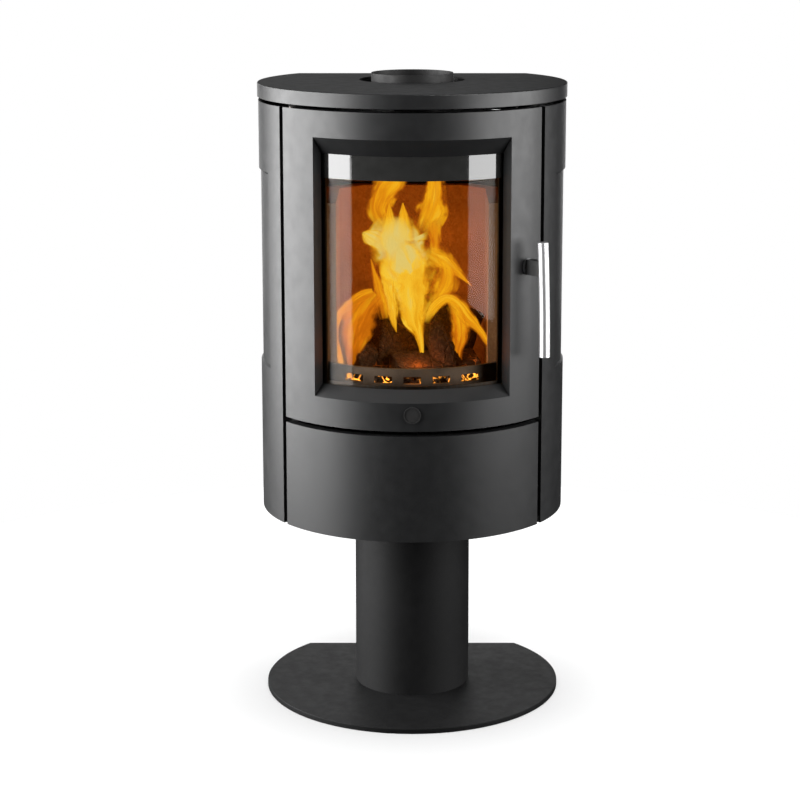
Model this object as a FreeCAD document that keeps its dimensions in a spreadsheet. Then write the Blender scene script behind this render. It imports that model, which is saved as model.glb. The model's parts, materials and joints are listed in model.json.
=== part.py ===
"""Wood burning stove: a round body on a pedestal tube, with a curved glass door and an ash drawer.

Millimetres and degrees. The origin is on the pedestal's axis at the floor, +X is to the stove's right
as seen by someone facing it, +Y points to the back and +Z up. Angles are measured round the
pedestal's axis from the front (-Y) towards +X.
"""
import FreeCAD, Part

import os
import re

import Sketcher
from FreeCAD import Rotation, Vector

SIZES = {
    # stand
    "base_radius": 249,
    "base_back": 167.5,
    "base_thickness": 8,
    "base_edge": 1,
    "tube_radius": 96.85,
    "tube_wall": 5,
    "tube_top": 324,
    "inlet_half_width": 40,
    "inlet_bottom": 30,
    "inlet_height": 50,
    "stand_bolt_radius": 4,
    "stand_bolt_clearance": 0.4,
    "foot_ring_bore": 55,
    "foot_ring_thickness": 8,
    "foot_screw_circle": 73,
    "foot_screw_length": 18,
    "foot_screw_head": 8,
    "foot_screw_sunk": 0.3,
    "sink_clearance": 0.4,
    "head_flange_radius": 122,
    "head_flange_thickness": 8,
    "head_flange_bore": 72,
    "head_bolt_circle": 107,
    "head_bolt_head": 6.5,
    "head_bolt_head_height": 5,
    "head_bolt_below": 8,
    "head_bolt_end": 1,
    # casing
    "skin_radius": 252.5,
    "skin_wall": 3.2,
    "body_bottom": 323.6,
    "body_top": 1005.3,
    "back_outer": 163,
    "back_wall": 3,
    "back_half_width": 188.5,
    "floor_thickness": 4,
    "floor_front_radius": 233,
    "floor_back": 150,
    "panel_front_angle": 56.3,
    "panel_rear_angle": 130.2,
    "panel_flange_radius": 234,
    "panel_flange_angle": 0.8,
    "fold_overlap": 0.2,
    "recess_bottom": 574,
    "recess_top": 895,
    "recess_margin_angle": 10.3,
    "inlay_lap": 9,
    "inlay_lap_angle": 3,
    "vent_width": 40,
    "vent_height": 6,
    "vent_pitch": 52,
    "vent_low": 930,
    "vent_rise": 18,
    "rear_outlet_height": 820,
    "rear_outlet_radius": 66,
    "rear_cover_radius": 78,
    "rear_cover_thickness": 3,
    "top_radius": 254,
    "top_bottom": 1011.5,
    "top_height": 1034,
    "top_web": 8,
    "top_rim": 7,
    "top_edge": 1.5,
    "top_hole_radius": 86.5,
    "flue_behind": 37,
    "flue_bore": 65,
    "flue_wall": 3,
    "flue_top": 1045,
    "flue_flange_radius": 84,
    "flue_flange_thickness": 5,
    "spacer_radius": 7,
    "spacer_across": 120,
    "spacer_front": 95,
    "spacer_rear": 118,
    "spacer_rear_across": 78,
    "spacer_rear_radius": 5.6,
    "standoff_radius": 8,
    "standoff_low": 440,
    "standoff_high": 940,
    "standoff_gap": 0.6,
    # inner body and firebox
    "shell_half_width": 154.3,
    "shell_wall": 4,
    "shell_front": 150,
    "shell_back": 125,
    "shell_corner": 60,
    "shell_top": 975,
    "firebox_floor_bottom": 508,
    "firebox_floor_top": 513,
    "firebox_top_top": 979,
    "seat_inner": 213,
    "seat_outer": 219,
    "seat_top": 1000,
    "seat_half_angle": 43.8,
    "seat_opening_half_angle": 40.5,
    "seat_opening_bottom": 550,
    "seat_opening_top": 962,
    "hearth_top": 543,
    "brick_thickness": 28,
    "brick_top": 850,
    "brick_front": 128,
    "brick_split": 36,
    "baffle_front": 70,
    "baffle_back": 118,
    "baffle_front_height": 903,
    "baffle_back_height": 853,
    "baffle_thickness": 25,
    "baffle_half_width": 149,
    "deflector_height": 945,
    "deflector_thickness": 3,
    "deflector_front": 110,
    "deflector_back": 40,
    "air_wash_inner": 206,
    "air_wash_outer": 212,
    "air_wash_bottom": 904,
    "air_wash_top": 965,
    "air_wash_half_angle": 42,
    "duct_half_width": 50,
    "duct_back": 155,
    "duct_wall": 2,
    "duct_bottom": 430,
    "grate_half": 71,
    "grate_seat": 62,
    "grate_gap": 1,
    "grate_thickness": 12,
    "grate_centre": 20,
    "grate_bar_gap": 8,
    "grate_bar_pitch": 17,
    "grate_margin": 10,
    "chute_bottom": 452,
    "chute_wall": 2,
    "retainer_inner": 190,
    "retainer_outer": 196,
    "retainer_bottom": 555,
    "retainer_top": 593,
    "retainer_half_angle": 45.6,
    "retainer_slot_width": 28,
    "retainer_slot_height": 12,
    "retainer_slot_centre": 574.5,
    "retainer_slot_pitch": 46.4,
    "retainer_foot_angle": 34,
    "retainer_foot_half": 1.6,
    # door
    "door_bottom": 504.5,
    "door_half_angle": 54,
    "door_inner": 232.5,
    "door_skin": 4,
    "window_half_angle": 37.9,
    "window_bottom": 550,
    "window_top": 963.5,
    "sight_bottom": 568,
    "sight_top": 936.5,
    "rail_hollow_half_angle": 44.2,
    "rail_hollow_top": 968,
    "rail_hollow_bottom": 545,
    "glass_outer": 231,
    "glass_inner": 227,
    "glass_half_angle": 40,
    "glass_lap": 9,
    "glass_end_gap": 1,
    "glass_side_gap_angle": 0.3,
    "gasket_setback": 2,
    "gasket_setback_angle": 0.5,
    "liner_inner": 224,
    "liner_half_angle": 50,
    "liner_bottom": 509,
    "liner_top": 1001,
    "liner_opening_half_angle": 36.9,
    "liner_opening_bottom": 572,
    "liner_opening_top": 932.5,
    "rope_outer_half_angle": 43.7,
    "rope_inner_half_angle": 41.3,
    "rope_bottom": 530,
    "rope_top": 984,
    "rope_width": 10,
    "rope_clearance": 0.2,
    "liner_screw_radius": 4.5,
    "liner_screw_height": 2.2,
    "liner_screw_low": 552,
    "liner_screw_high": 952,
    "liner_screw_angle": 38.8,
    "liner_screw_gap": 0.1,
    "plate_radius": 13.5,
    "plate_height": 531,
    "plate_proud": 1.2,
    "plate_rim": 1.6,
    "hinge_radius": 243,
    "hinge_angle": 51.5,
    "hinge_pin_radius": 4,
    "hinge_running_gap": 0.05,
    "hinge_bush_radius": 7,
    "hinge_bush_length": 24,
    "hinge_pin_engagement": 20,
    "bracket_thickness": 4,
    "bracket_gap": 2,
    "bracket_half_width": 6,
    "bracket_rise": 1,
    "bracket_upper_front": 130,
    "bracket_lower_front": 134,
    "bracket_leg_inner": 120,
    "bracket_leg_outer": 140,
    "bracket_leg_front": 141,
    "bracket_leg_back": 117,
    # handle and latch
    "spindle_angle": 46.5,
    "spindle_height": 755,
    "spindle_radius": 5,
    "spindle_running_gap": 0.05,
    "spindle_bush_radius": 8,
    "rosette_radius": 13,
    "rosette_thickness": 2,
    "rosette_overlap": 0.05,
    "arm_gap": 0.3,
    "spindle_setback": 4,
    "arm_half_width": 7.5,
    "arm_half_height": 12,
    "bar_radius": 8.75,
    "bar_top": 797,
    "bar_bottom": 613,
    "bar_top_out": 283.25,
    "bar_bottom_out": 289.25,
    "bar_bow_radius": 3460,
    "bar_edge": 1.2,
    "bar_seat_offset": 1.95,
    "bar_seat_gap": 0.35,
    "cam_inner": 219.3,
    "cam_outer": 222.8,
    "cam_hub_radius": 9,
    "cam_length": 30,
    "cam_half_width": 6,
    "nut_across": 7,
    "nut_thickness": 3,
    "keeper_left": 183.5,
    "keeper_right": 187.5,
    "keeper_front": 129,
    "keeper_back": 115,
    "keeper_plate": 4,
    "keeper_half_height": 18,
    # ash drawer
    "drawer_top": 496,
    "drawer_flange_radius": 236,
    "chassis_half_width": 140,
    "chassis_back": 58,
    "chassis_bottom": 344,
    "chassis_top": 384,
    "chassis_wall": 2,
    "chassis_lip": 7,
    "ash_pan_half_width": 128,
    "ash_pan_front": 190,
    "ash_pan_back": 50,
    "ash_pan_bottom": 346.3,
    "ash_pan_top": 440,
    "ash_pan_wall": 1.5,
    "ash_pan_rim": 6,
    "runner_inner": 143,
    "runner_wall": 2.2,
    "runner_gap": 0.4,
    "runner_front": 180,
    "runner_back": 60,
    # combustion air control
    "valve_radius": 75,
    "valve_thickness": 3,
    "valve_gap": 0.3,
    "port_radius": 13,
    "port_circle": 45,
    "pivot_radius": 6,
    "pivot_running_gap": 0.06,
    "pivot_head_radius": 11,
    "pivot_head_height": 3,
    "pivot_head_overlap": 0.5,
    "lever_half_width": 7,
    "lever_start": 16,
    "lever_end": 221,
    "lever_slot_inner": 206,
    "lever_slot_outer": 220,
    "lever_slot_angle": 38,
    "knob_circle": 213,
    "knob_stem_radius": 4,
    "knob_radius": 7.5,
    "knob_bottom": 312.8,
    "knob_top": 322.4,
    "knob_edge": 2,
}

STAND_BOLTS = 4
STAND_BOLT_START = 45
AIR_PORTS = 6
VENTS_PER_ROW = 7
VENT_ROWS = 3
GRATE_GAPS = 7
RETAINER_SLOTS = 5

DOC = FreeCAD.newDocument("Stove")


def make_sheet():
    """The spreadsheet of driving sizes: a name in column A and an aliased number in column B."""
    sheet = DOC.addObject("Spreadsheet::Sheet", "Sizes")
    for row, (alias, number) in enumerate(SIZES.items(), start=1):
        sheet.set(f"A{row}", alias)
        sheet.set(f"B{row}", str(number))
        sheet.setAlias(f"B{row}", alias)
    DOC.recompute()
    return sheet


SHEET = make_sheet()
NODES = []


def bound(text):
    """The expression with each size's name pointing at its cell."""
    def cell(word):
        return "Sizes." + word[0] if word[0] in SIZES else word[0]
    return re.sub(r"[a-z][a-z_]+", cell, str(text))


def value(text):
    """The number that an expression gives now."""
    return float(SHEET.evalExpression(bound(text)))


# ---------------------------------------------------------------- sketch and feature helpers

def new_body(label):
    """An empty body, listed as one of the stove's sub-parts."""
    body = DOC.addObject("PartDesign::Body", "Body_" + label)
    body.Label = label
    NODES.append(body)
    return body


def new_sketch(body, role, offset="0", turn=None):
    """A sketch on one of the body's origin planes, turned about world Z and moved along its normal."""
    sketch = body.newObject("Sketcher::SketchObject", "Sketch")
    plane = next(item for item in body.Origin.OriginFeatures if item.Role == role)
    sketch.AttachmentSupport = [(plane, "")]
    sketch.MapMode = "FlatFace"
    if turn is None:
        sketch.setExpression("AttachmentOffset.Base.z", bound(offset))
        return sketch
    sketch.AttachmentOffset = FreeCAD.Placement(Vector(0, 0, 0), Rotation(Vector(0, 1, 0), 1))
    sketch.setExpression("AttachmentOffset.Rotation.Angle", bound(turn))
    sketch.setExpression("AttachmentOffset.Base.x", bound(f"({offset}) * sin({turn})"))
    sketch.setExpression("AttachmentOffset.Base.z", bound(f"({offset}) * cos({turn})"))
    return sketch


def pin_point(sketch, geometry, point, x, y):
    """Ties one point of the sketch to two expressions."""
    for kind, axis, text in (("DistanceX", -2, x), ("DistanceY", -1, y)):
        number = value(text)
        if abs(number) < 1e-9:
            sketch.addConstraint(Sketcher.Constraint("PointOnObject", geometry, point, axis))
            continue
        index = sketch.addConstraint(Sketcher.Constraint(kind, geometry, point, number))
        sketch.setExpression(f"Constraints[{index}]", bound(text))


def set_radius(sketch, geometry, radius):
    """Ties a circle's or an arc's radius to an expression."""
    index = sketch.addConstraint(Sketcher.Constraint("Radius", geometry, value(radius)))
    sketch.setExpression(f"Constraints[{index}]", bound(radius))


def add_polygon(sketch, corners):
    """A closed outline of straight lines, each corner given by two expressions."""
    first = sketch.GeometryCount
    points = [Vector(value(x), value(y), 0) for x, y in corners]
    count = len(points)
    for step in range(count):
        sketch.addGeometry(Part.LineSegment(points[step], points[(step + 1) % count]))
    for step in range(count):
        following = first + (step + 1) % count
        sketch.addConstraint(Sketcher.Constraint("Coincident", first + step, 2, following, 1))
        pin_point(sketch, first + step, 1, *corners[step])


def add_rectangle(sketch, left, right, low, high):
    add_polygon(sketch, [(left, low), (right, low), (right, high), (left, high)])


def add_circle(sketch, x, y, radius):
    centre = Vector(value(x), value(y), 0)
    index = sketch.addGeometry(Part.Circle(centre, Vector(0, 0, 1), value(radius)))
    pin_point(sketch, index, 3, x, y)
    set_radius(sketch, index, radius)


def add_front_arc(sketch, radius, half_width, back_text):
    """An arc about the origin that bulges to the front, between two points at the same height."""
    reach = value(radius)
    across = value(half_width)
    start = Vector(-across, value(back_text), 0)
    end = Vector(across, value(back_text), 0)
    arc = Part.Arc(start, Vector(0, -reach, 0), end)
    index = sketch.addGeometry(arc)
    sketch.addConstraint(Sketcher.Constraint("Coincident", index, 3, -1, 1))
    set_radius(sketch, index, radius)
    return index


def join_to_arc(sketch, arc, points):
    """Straight lines from one end of the front arc to the other, through the given points."""
    ends = [sketch.getPoint(arc, 1), sketch.getPoint(arc, 2)]
    if ends[0].x > ends[1].x:
        first_end, last_end = 2, 1
    else:
        first_end, last_end = 1, 2
    corners = [sketch.getPoint(arc, first_end)]
    corners += [Vector(value(x), value(y), 0) for x, y in points]
    corners.append(sketch.getPoint(arc, last_end))
    lines = []
    for here, there in zip(corners, corners[1:]):
        lines.append(sketch.addGeometry(Part.LineSegment(here, there)))
    sketch.addConstraint(Sketcher.Constraint("Coincident", lines[0], 1, arc, first_end))
    sketch.addConstraint(Sketcher.Constraint("Coincident", lines[-1], 2, arc, last_end))
    for line, following in zip(lines, lines[1:]):
        sketch.addConstraint(Sketcher.Constraint("Coincident", line, 2, following, 1))
    for line, (x, y) in zip(lines[1:], points):
        pin_point(sketch, line, 1, x, y)
    return lines


def add_d_shape(sketch, radius, back):
    """A disc about the origin whose back is cut off straight."""
    half = f"sqrt(({radius})^2 - ({back})^2)"
    arc = add_front_arc(sketch, radius, half, back)
    line = join_to_arc(sketch, arc, [])[0]
    sketch.addConstraint(Sketcher.Constraint("Horizontal", line))
    index = sketch.addConstraint(Sketcher.Constraint("DistanceY", line, 1, value(back)))
    sketch.setExpression(f"Constraints[{index}]", bound(back))


def add_chamber(sketch, inset, front_radius):
    """The inner body's plan: straight sides, chamfered rear corners and a front that follows the door."""
    half = f"(shell_half_width - {inset})"
    back = f"(shell_back - {inset})"
    corner = f"(shell_corner - {inset} * (2 - sqrt(2)))"
    front = f"-sqrt(({front_radius})^2 - {half}^2)"
    arc = add_front_arc(sketch, front_radius, half, front)
    points = [
        (f"-{half}", f"{back} - {corner}"),
        (f"{corner} - {half}", back),
        (f"{half} - {corner}", back),
        (half, f"{back} - {corner}"),
    ]
    lines = join_to_arc(sketch, arc, points)
    sketch.addConstraint(Sketcher.Constraint("Vertical", lines[0]))
    sketch.addConstraint(Sketcher.Constraint("Vertical", lines[-1]))


def add_u_shape(sketch, inset, wall, front):
    """A wall that runs round the sides and the chamfered back of the inner body, open to the front."""
    def side(depth, sign):
        half = f"(shell_half_width - {depth})"
        back = f"(shell_back - {depth})"
        corner = f"(shell_corner - ({depth}) * (2 - sqrt(2)))"
        return [
            (f"{sign} * {half}", front),
            (f"{sign} * {half}", f"{back} - {corner}"),
            (f"{sign} * ({half} - {corner})", back),
        ]
    deep = f"({inset} + {wall})"
    outer = side(inset, -1) + side(inset, 1)[::-1]
    inner = side(deep, 1) + side(deep, -1)[::-1]
    add_polygon(sketch, outer + inner)


def pad(sketch, length, centred=False):
    """Extrudes a sketch along its normal."""
    body = sketch.getParentGeoFeatureGroup()
    feature = body.newObject("PartDesign::Pad", "Pad")
    feature.Profile = sketch
    feature.Midplane = centred
    feature.setExpression("Length", bound(length))
    DOC.recompute()
    return feature


def check_cut(body, feature, before):
    """Stops if a cut took nothing away."""
    DOC.recompute()
    if feature.Shape.Volume > before - 1:
        raise ValueError(f"{body.Label}: {feature.Name} cuts nothing")
    return feature


def pocket(sketch, length=None, upward=False):
    """Cuts a sketch through the body both ways, or to a length along or against its normal."""
    body = sketch.getParentGeoFeatureGroup()
    before = body.Shape.Volume
    feature = body.newObject("PartDesign::Pocket", "Pocket")
    feature.Profile = sketch
    if length is None:
        feature.Type = "ThroughAll"
        feature.Midplane = True
    else:
        feature.Reversed = upward
        feature.setExpression("Length", bound(length))
    return check_cut(body, feature, before)


def turn_feature(body, kind, corners, angle):
    """Sweeps an outline in the plane of the front about the pedestal's axis, half to each side."""
    sketch = new_sketch(body, "YZ_Plane")
    add_polygon(sketch, corners)
    feature = body.newObject(kind, kind.split("::")[1])
    feature.Profile = sketch
    feature.ReferenceAxis = (sketch, ["V_Axis"])
    feature.Midplane = True
    feature.setExpression("Angle", bound(angle))
    return feature


def band(body, inner, outer, low, high, half_angle):
    """A curved plate about the pedestal's axis, centred on the body's own front."""
    corners = [(f"-({outer})", low), (f"-({inner})", low), (f"-({inner})", high), (f"-({outer})", high)]
    turn_feature(body, "PartDesign::Revolution", corners, f"2 * ({half_angle})")
    DOC.recompute()


def band_cut(body, inner, outer, low, high, half_angle):
    """A curved opening or hollow about the pedestal's axis."""
    corners = [(f"-({outer})", low), (f"-({inner})", low), (f"-({inner})", high), (f"-({outer})", high)]
    before = body.Shape.Volume
    feature = turn_feature(body, "PartDesign::Groove", corners, f"2 * ({half_angle})")
    check_cut(body, feature, before)


def sloped_cut(body, deep, shallow, half_angle):
    """A curved opening whose top and bottom slope: each end is (radius, low, high)."""
    corners = [
        (f"-({shallow[0]})", shallow[1]),
        (f"-({deep[0]})", deep[1]),
        (f"-({deep[0]})", deep[2]),
        (f"-({shallow[0]})", shallow[2]),
    ]
    before = body.Shape.Volume
    feature = turn_feature(body, "PartDesign::Groove", corners, f"2 * ({half_angle})")
    check_cut(body, feature, before)


def radial_bar(body, inner, outer, from_angle, to_angle, low, high):
    """An upright bar between two radii and two angles."""
    def at(radius, angle):
        return (f"({radius}) * sin({angle})", f"-({radius}) * cos({angle})")
    sketch = new_sketch(body, "XY_Plane", low)
    near = [at(inner, from_angle), at(inner, to_angle)]
    far = [at(outer, to_angle), at(outer, from_angle)]
    add_polygon(sketch, near + far)
    pad(sketch, f"({high}) - ({low})")


def block(label, left, right, front, back, low, high):
    """A plain rectangular plate or brick in a body of its own."""
    body = new_body(label)
    sketch = new_sketch(body, "XY_Plane", low)
    add_rectangle(sketch, left, right, front, back)
    pad(sketch, f"({high}) - ({low})")
    return body


def cylinder(body, x, y, radius, low, high):
    """An upright round bar."""
    sketch = new_sketch(body, "XY_Plane", low)
    add_circle(sketch, x, y, radius)
    pad(sketch, f"({high}) - ({low})")


def face_at(feature, height):
    """The name of the largest flat face at a height."""
    names = []
    for number, face in enumerate(feature.Shape.Faces, start=1):
        box = face.BoundBox
        if box.ZLength < 1e-4 and abs(box.ZMin - value(height)) < 1e-3:
            names.append((face.Area, f"Face{number}"))
    return max(names)[1]


def round_face(body, height, radius):
    """Rounds every edge of the flat face at a height."""
    base = body.Tip
    feature = body.newObject("PartDesign::Fillet", "Fillet")
    feature.Base = (base, [face_at(base, height)])
    feature.setExpression("Radius", bound(radius))
    DOC.recompute()


def repeat_round(body, originals, count):
    """Repeats features evenly round the body's own Z axis."""
    pattern = body.newObject("PartDesign::PolarPattern", "PolarPattern")
    pattern.Originals = originals
    axis = next(item for item in body.Origin.OriginFeatures if item.Role == "Z_Axis")
    pattern.Axis = (axis, [""])
    pattern.Angle = 360
    pattern.Occurrences = count
    body.Tip = pattern
    DOC.recompute()


def turn_body(body, angle):
    """Turns a finished body about the pedestal's axis."""
    body.Placement = FreeCAD.Placement(Vector(0, 0, 0), Rotation(Vector(0, 0, 1), 1))
    body.setExpression("Placement.Rotation.Angle", bound(angle))
    DOC.recompute()


def ring_of(count, circle, start=0.0):
    """Hole centres on a circle, as pairs of expressions."""
    angles = [start + 360.0 * step / count for step in range(count)]
    return [(f"{circle} * cos({angle})", f"{circle} * sin({angle})") for angle in angles]


# ---------------------------------------------------------------- stand

def make_base_plate():
    body = new_body("base_plate")
    sketch = new_sketch(body, "XY_Plane")
    add_d_shape(sketch, "base_radius", "base_back")
    pad(sketch, "base_thickness")
    holes = new_sketch(body, "XY_Plane")
    for x, y in ring_of(STAND_BOLTS, "foot_screw_circle", STAND_BOLT_START):
        add_circle(holes, x, y, "stand_bolt_radius + stand_bolt_clearance")
    pocket(holes)
    before = body.Shape.Volume
    cone = [
        ("foot_screw_circle", "-0.01"),
        ("foot_screw_circle + foot_screw_head + sink_clearance", "-0.01"),
        ("foot_screw_circle", "foot_screw_head + sink_clearance"),
    ]
    sinks = countersinks(body, "PartDesign::Groove", cone)
    check_cut(body, sinks, before)
    repeat_round(body, [sinks], STAND_BOLTS)
    round_face(body, "base_thickness", "base_edge")


def countersinks(body, kind, outline):
    """Turns an outline about an upright line through the first stand screw."""
    sketch = new_sketch(body, "XZ_Plane", turn=str(STAND_BOLT_START))
    add_polygon(sketch, outline)
    low = Vector(value("foot_screw_circle"), 0, 0)
    high = Vector(value("foot_screw_circle"), value("foot_screw_length"), 0)
    line = sketch.addGeometry(Part.LineSegment(low, high), True)
    pin_point(sketch, line, 1, "foot_screw_circle", "0")
    pin_point(sketch, line, 2, "foot_screw_circle", "foot_screw_length")
    feature = body.newObject(kind, kind.split("::")[1])
    feature.Profile = sketch
    feature.ReferenceAxis = (sketch, ["Axis0"])
    feature.Angle = 360
    return feature


def make_foot_screws():
    body = new_body("foot_screws")
    outline = [
        ("foot_screw_circle", "foot_screw_sunk"),
        ("foot_screw_circle + foot_screw_head", "foot_screw_sunk"),
        ("foot_screw_circle + stand_bolt_radius", "foot_screw_sunk + foot_screw_head - stand_bolt_radius"),
        ("foot_screw_circle + stand_bolt_radius", "foot_screw_length"),
        ("foot_screw_circle", "foot_screw_length"),
    ]
    screw = countersinks(body, "PartDesign::Revolution", outline)
    DOC.recompute()
    repeat_round(body, [screw], STAND_BOLTS)


def make_pedestal_tube():
    body = new_body("pedestal_tube")
    sketch = new_sketch(body, "XY_Plane", "base_thickness")
    add_circle(sketch, "0", "0", "tube_radius")
    add_circle(sketch, "0", "0", "tube_radius - tube_wall")
    pad(sketch, "tube_top - base_thickness")
    inlet = new_sketch(body, "XZ_Plane")
    inlet_top = "inlet_bottom + inlet_height"
    add_rectangle(inlet, "-inlet_half_width", "inlet_half_width", "inlet_bottom", inlet_top)
    pocket(inlet, "tube_radius + 1")


def make_foot_ring():
    body = new_body("foot_ring")
    sketch = new_sketch(body, "XY_Plane", "base_thickness")
    add_circle(sketch, "0", "0", "tube_radius - tube_wall")
    add_circle(sketch, "0", "0", "foot_ring_bore")
    for x, y in ring_of(STAND_BOLTS, "foot_screw_circle", STAND_BOLT_START):
        add_circle(sketch, x, y, "stand_bolt_radius")
    pad(sketch, "foot_ring_thickness")


def make_head_flange():
    body = new_body("head_flange")
    sketch = new_sketch(body, "XY_Plane", "tube_top")
    add_circle(sketch, "0", "0", "head_flange_radius")
    add_circle(sketch, "0", "0", "head_flange_bore")
    for x, y in ring_of(STAND_BOLTS, "head_bolt_circle", STAND_BOLT_START):
        add_circle(sketch, x, y, "stand_bolt_radius + stand_bolt_clearance")
    pad(sketch, "head_flange_thickness")


FLOOR_BOTTOM = "(tube_top + head_flange_thickness)"
FLOOR_TOP = "(tube_top + head_flange_thickness + floor_thickness)"


def add_hexagon(sketch, x, y, across_corners):
    corners = []
    for step in range(6):
        angle = 60 * step
        corners.append((f"{x} + {across_corners} * cos({angle})", f"{y} + {across_corners} * sin({angle})"))
    add_polygon(sketch, corners)


def make_head_bolts():
    body = new_body("head_bolts")
    shank = new_sketch(body, "XY_Plane", "tube_top - head_bolt_below")
    head = new_sketch(body, "XY_Plane", FLOOR_TOP)
    nut = new_sketch(body, "XY_Plane", "tube_top - head_bolt_below + head_bolt_end")
    for x, y in ring_of(STAND_BOLTS, "head_bolt_circle", STAND_BOLT_START):
        add_circle(shank, x, y, "stand_bolt_radius")
        add_hexagon(head, x, y, "head_bolt_head")
        add_hexagon(nut, x, y, "head_bolt_head")
    pad(shank, f"{FLOOR_TOP} - tube_top + head_bolt_below")
    pad(head, "head_bolt_head_height")
    pad(nut, "head_bolt_below - head_bolt_end")


# ---------------------------------------------------------------- casing

def make_body_floor():
    body = new_body("body_floor")
    sketch = new_sketch(body, "XY_Plane", FLOOR_BOTTOM)
    add_d_shape(sketch, "skin_radius - skin_wall", "floor_back")
    for x, y in ring_of(STAND_BOLTS, "head_bolt_circle", STAND_BOLT_START):
        add_circle(sketch, x, y, "stand_bolt_radius + stand_bolt_clearance")
    for x, y in ring_of(AIR_PORTS, "port_circle"):
        add_circle(sketch, x, y, "port_radius")
    add_circle(sketch, "0", "0", "pivot_radius")
    pad(sketch, "floor_thickness")
    above = f"{FLOOR_TOP} + 1"
    below = f"{FLOOR_BOTTOM} - 1"
    band_cut(body, "floor_front_radius", "skin_radius", below, above, "panel_front_angle + 1")
    band_cut(body, "lever_slot_inner", "lever_slot_outer", below, above, "lever_slot_angle / 2")


def make_side_panel(side, sign):
    """A curved skin with folded edges and an opening whose top and bottom are bevelled."""
    body = new_body(side + "_side_panel")
    half = "(panel_rear_angle - panel_front_angle) / 2"
    inner = "skin_radius - skin_wall"
    band(body, inner, "skin_radius", "body_bottom", "body_top", half)
    sloped_cut(
        body,
        (f"{inner} - 1", "recess_bottom + skin_wall + 1", "recess_top - skin_wall - 1"),
        ("skin_radius + 1", "recess_bottom - 1", "recess_top + 1"),
        f"{half} - recess_margin_angle",
    )
    for edge in (-1, 1):
        outer_edge = f"{edge} * ({half})"
        inner_edge = f"{edge} * ({half} - panel_flange_angle)"
        outer = f"{inner} + fold_overlap"
        radial_bar(body, "panel_flange_radius", outer, inner_edge, outer_edge, "body_bottom", "body_top")
    turn_body(body, f"{sign} * (panel_front_angle + panel_rear_angle) / 2")


def make_side_inlay(side, sign):
    body = new_body(side + "_side_inlay")
    half = "(panel_rear_angle - panel_front_angle) / 2 - recess_margin_angle + inlay_lap_angle"
    outer = "skin_radius - skin_wall"
    band(body, f"{outer} - skin_wall", outer, "recess_bottom - inlay_lap", "recess_top + inlay_lap", half)
    turn_body(body, f"{sign} * (panel_front_angle + panel_rear_angle) / 2")


def make_back_panel():
    body = new_body("back_panel")
    sketch = new_sketch(body, "XZ_Plane", "-back_outer")
    add_rectangle(sketch, "-back_half_width", "back_half_width", "body_bottom", "body_top")
    add_circle(sketch, "0", "rear_outlet_height", "rear_outlet_radius")
    pad(sketch, "back_wall")
    vents = new_sketch(body, "XZ_Plane")
    for row in range(VENT_ROWS):
        for column in range(VENTS_PER_ROW):
            centre = f"vent_pitch * {column - (VENTS_PER_ROW - 1) / 2}"
            low = f"vent_low + vent_rise * {row}"
            left = f"{centre} - vent_width / 2"
            add_rectangle(vents, left, f"{centre} + vent_width / 2", low, f"{low} + vent_height")
    pocket(vents)


def make_rear_outlet_cover():
    body = new_body("rear_outlet_cover")
    cover = new_sketch(body, "XZ_Plane", "-(back_outer + rear_cover_thickness)")
    add_circle(cover, "0", "rear_outlet_height", "rear_cover_radius")
    pad(cover, "rear_cover_thickness")
    plug = new_sketch(body, "XZ_Plane", "-back_outer")
    add_circle(plug, "0", "rear_outlet_height", "rear_outlet_radius - 0.5")
    pad(plug, "back_wall")


def make_top_plate():
    """A cast plate with a rim all round and a second rim round the hole for the flue."""
    body = new_body("top_plate")
    sketch = new_sketch(body, "XY_Plane", "top_bottom")
    add_d_shape(sketch, "top_radius", "back_outer")
    add_circle(sketch, "0", "flue_behind", "top_hole_radius")
    pad(sketch, "top_height - top_bottom")
    hollow = new_sketch(body, "XY_Plane", "top_bottom")
    add_d_shape(hollow, "top_radius - top_rim", "back_outer - top_rim")
    add_circle(hollow, "0", "flue_behind", "top_hole_radius + top_rim")
    pocket(hollow, "top_height - top_bottom - top_web", upward=True)
    round_face(body, "top_height", "top_edge")


def make_flue_collar():
    body = new_body("flue_collar")
    tube = new_sketch(body, "XY_Plane", "firebox_top_top")
    add_circle(tube, "0", "flue_behind", "flue_bore")
    add_circle(tube, "0", "flue_behind", "flue_bore + flue_wall")
    pad(tube, "flue_top - firebox_top_top")
    flange = new_sketch(body, "XY_Plane", "firebox_top_top")
    add_circle(flange, "0", "flue_behind", "flue_bore")
    add_circle(flange, "0", "flue_behind", "flue_flange_radius")
    pad(flange, "flue_flange_thickness")


def make_top_spacers():
    body = new_body("top_spacers")
    sketch = new_sketch(body, "XY_Plane", "firebox_top_top")
    for sign in (-1, 1):
        add_circle(sketch, f"{sign} * spacer_across", "-spacer_front", "spacer_radius")
        add_circle(sketch, f"{sign} * spacer_rear_across", "spacer_rear", "spacer_rear_radius")
    pad(sketch, "top_height - top_web - firebox_top_top")


def make_panel_standoffs():
    body = new_body("panel_standoffs")
    reach = "skin_radius - skin_wall - standoff_gap"
    for start in (f"-({reach})", "shell_half_width"):
        sketch = new_sketch(body, "YZ_Plane", start)
        for height in ("standoff_low", "standoff_high"):
            add_circle(sketch, "0", height, "standoff_radius")
        pad(sketch, f"{reach} - shell_half_width")


# ---------------------------------------------------------------- inner body and firebox

def make_inner_shell():
    body = new_body("inner_shell")
    sketch = new_sketch(body, "XY_Plane", FLOOR_TOP)
    add_u_shape(sketch, "0", "shell_wall", "-shell_front")
    pad(sketch, f"shell_top - {FLOOR_TOP}")


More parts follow.
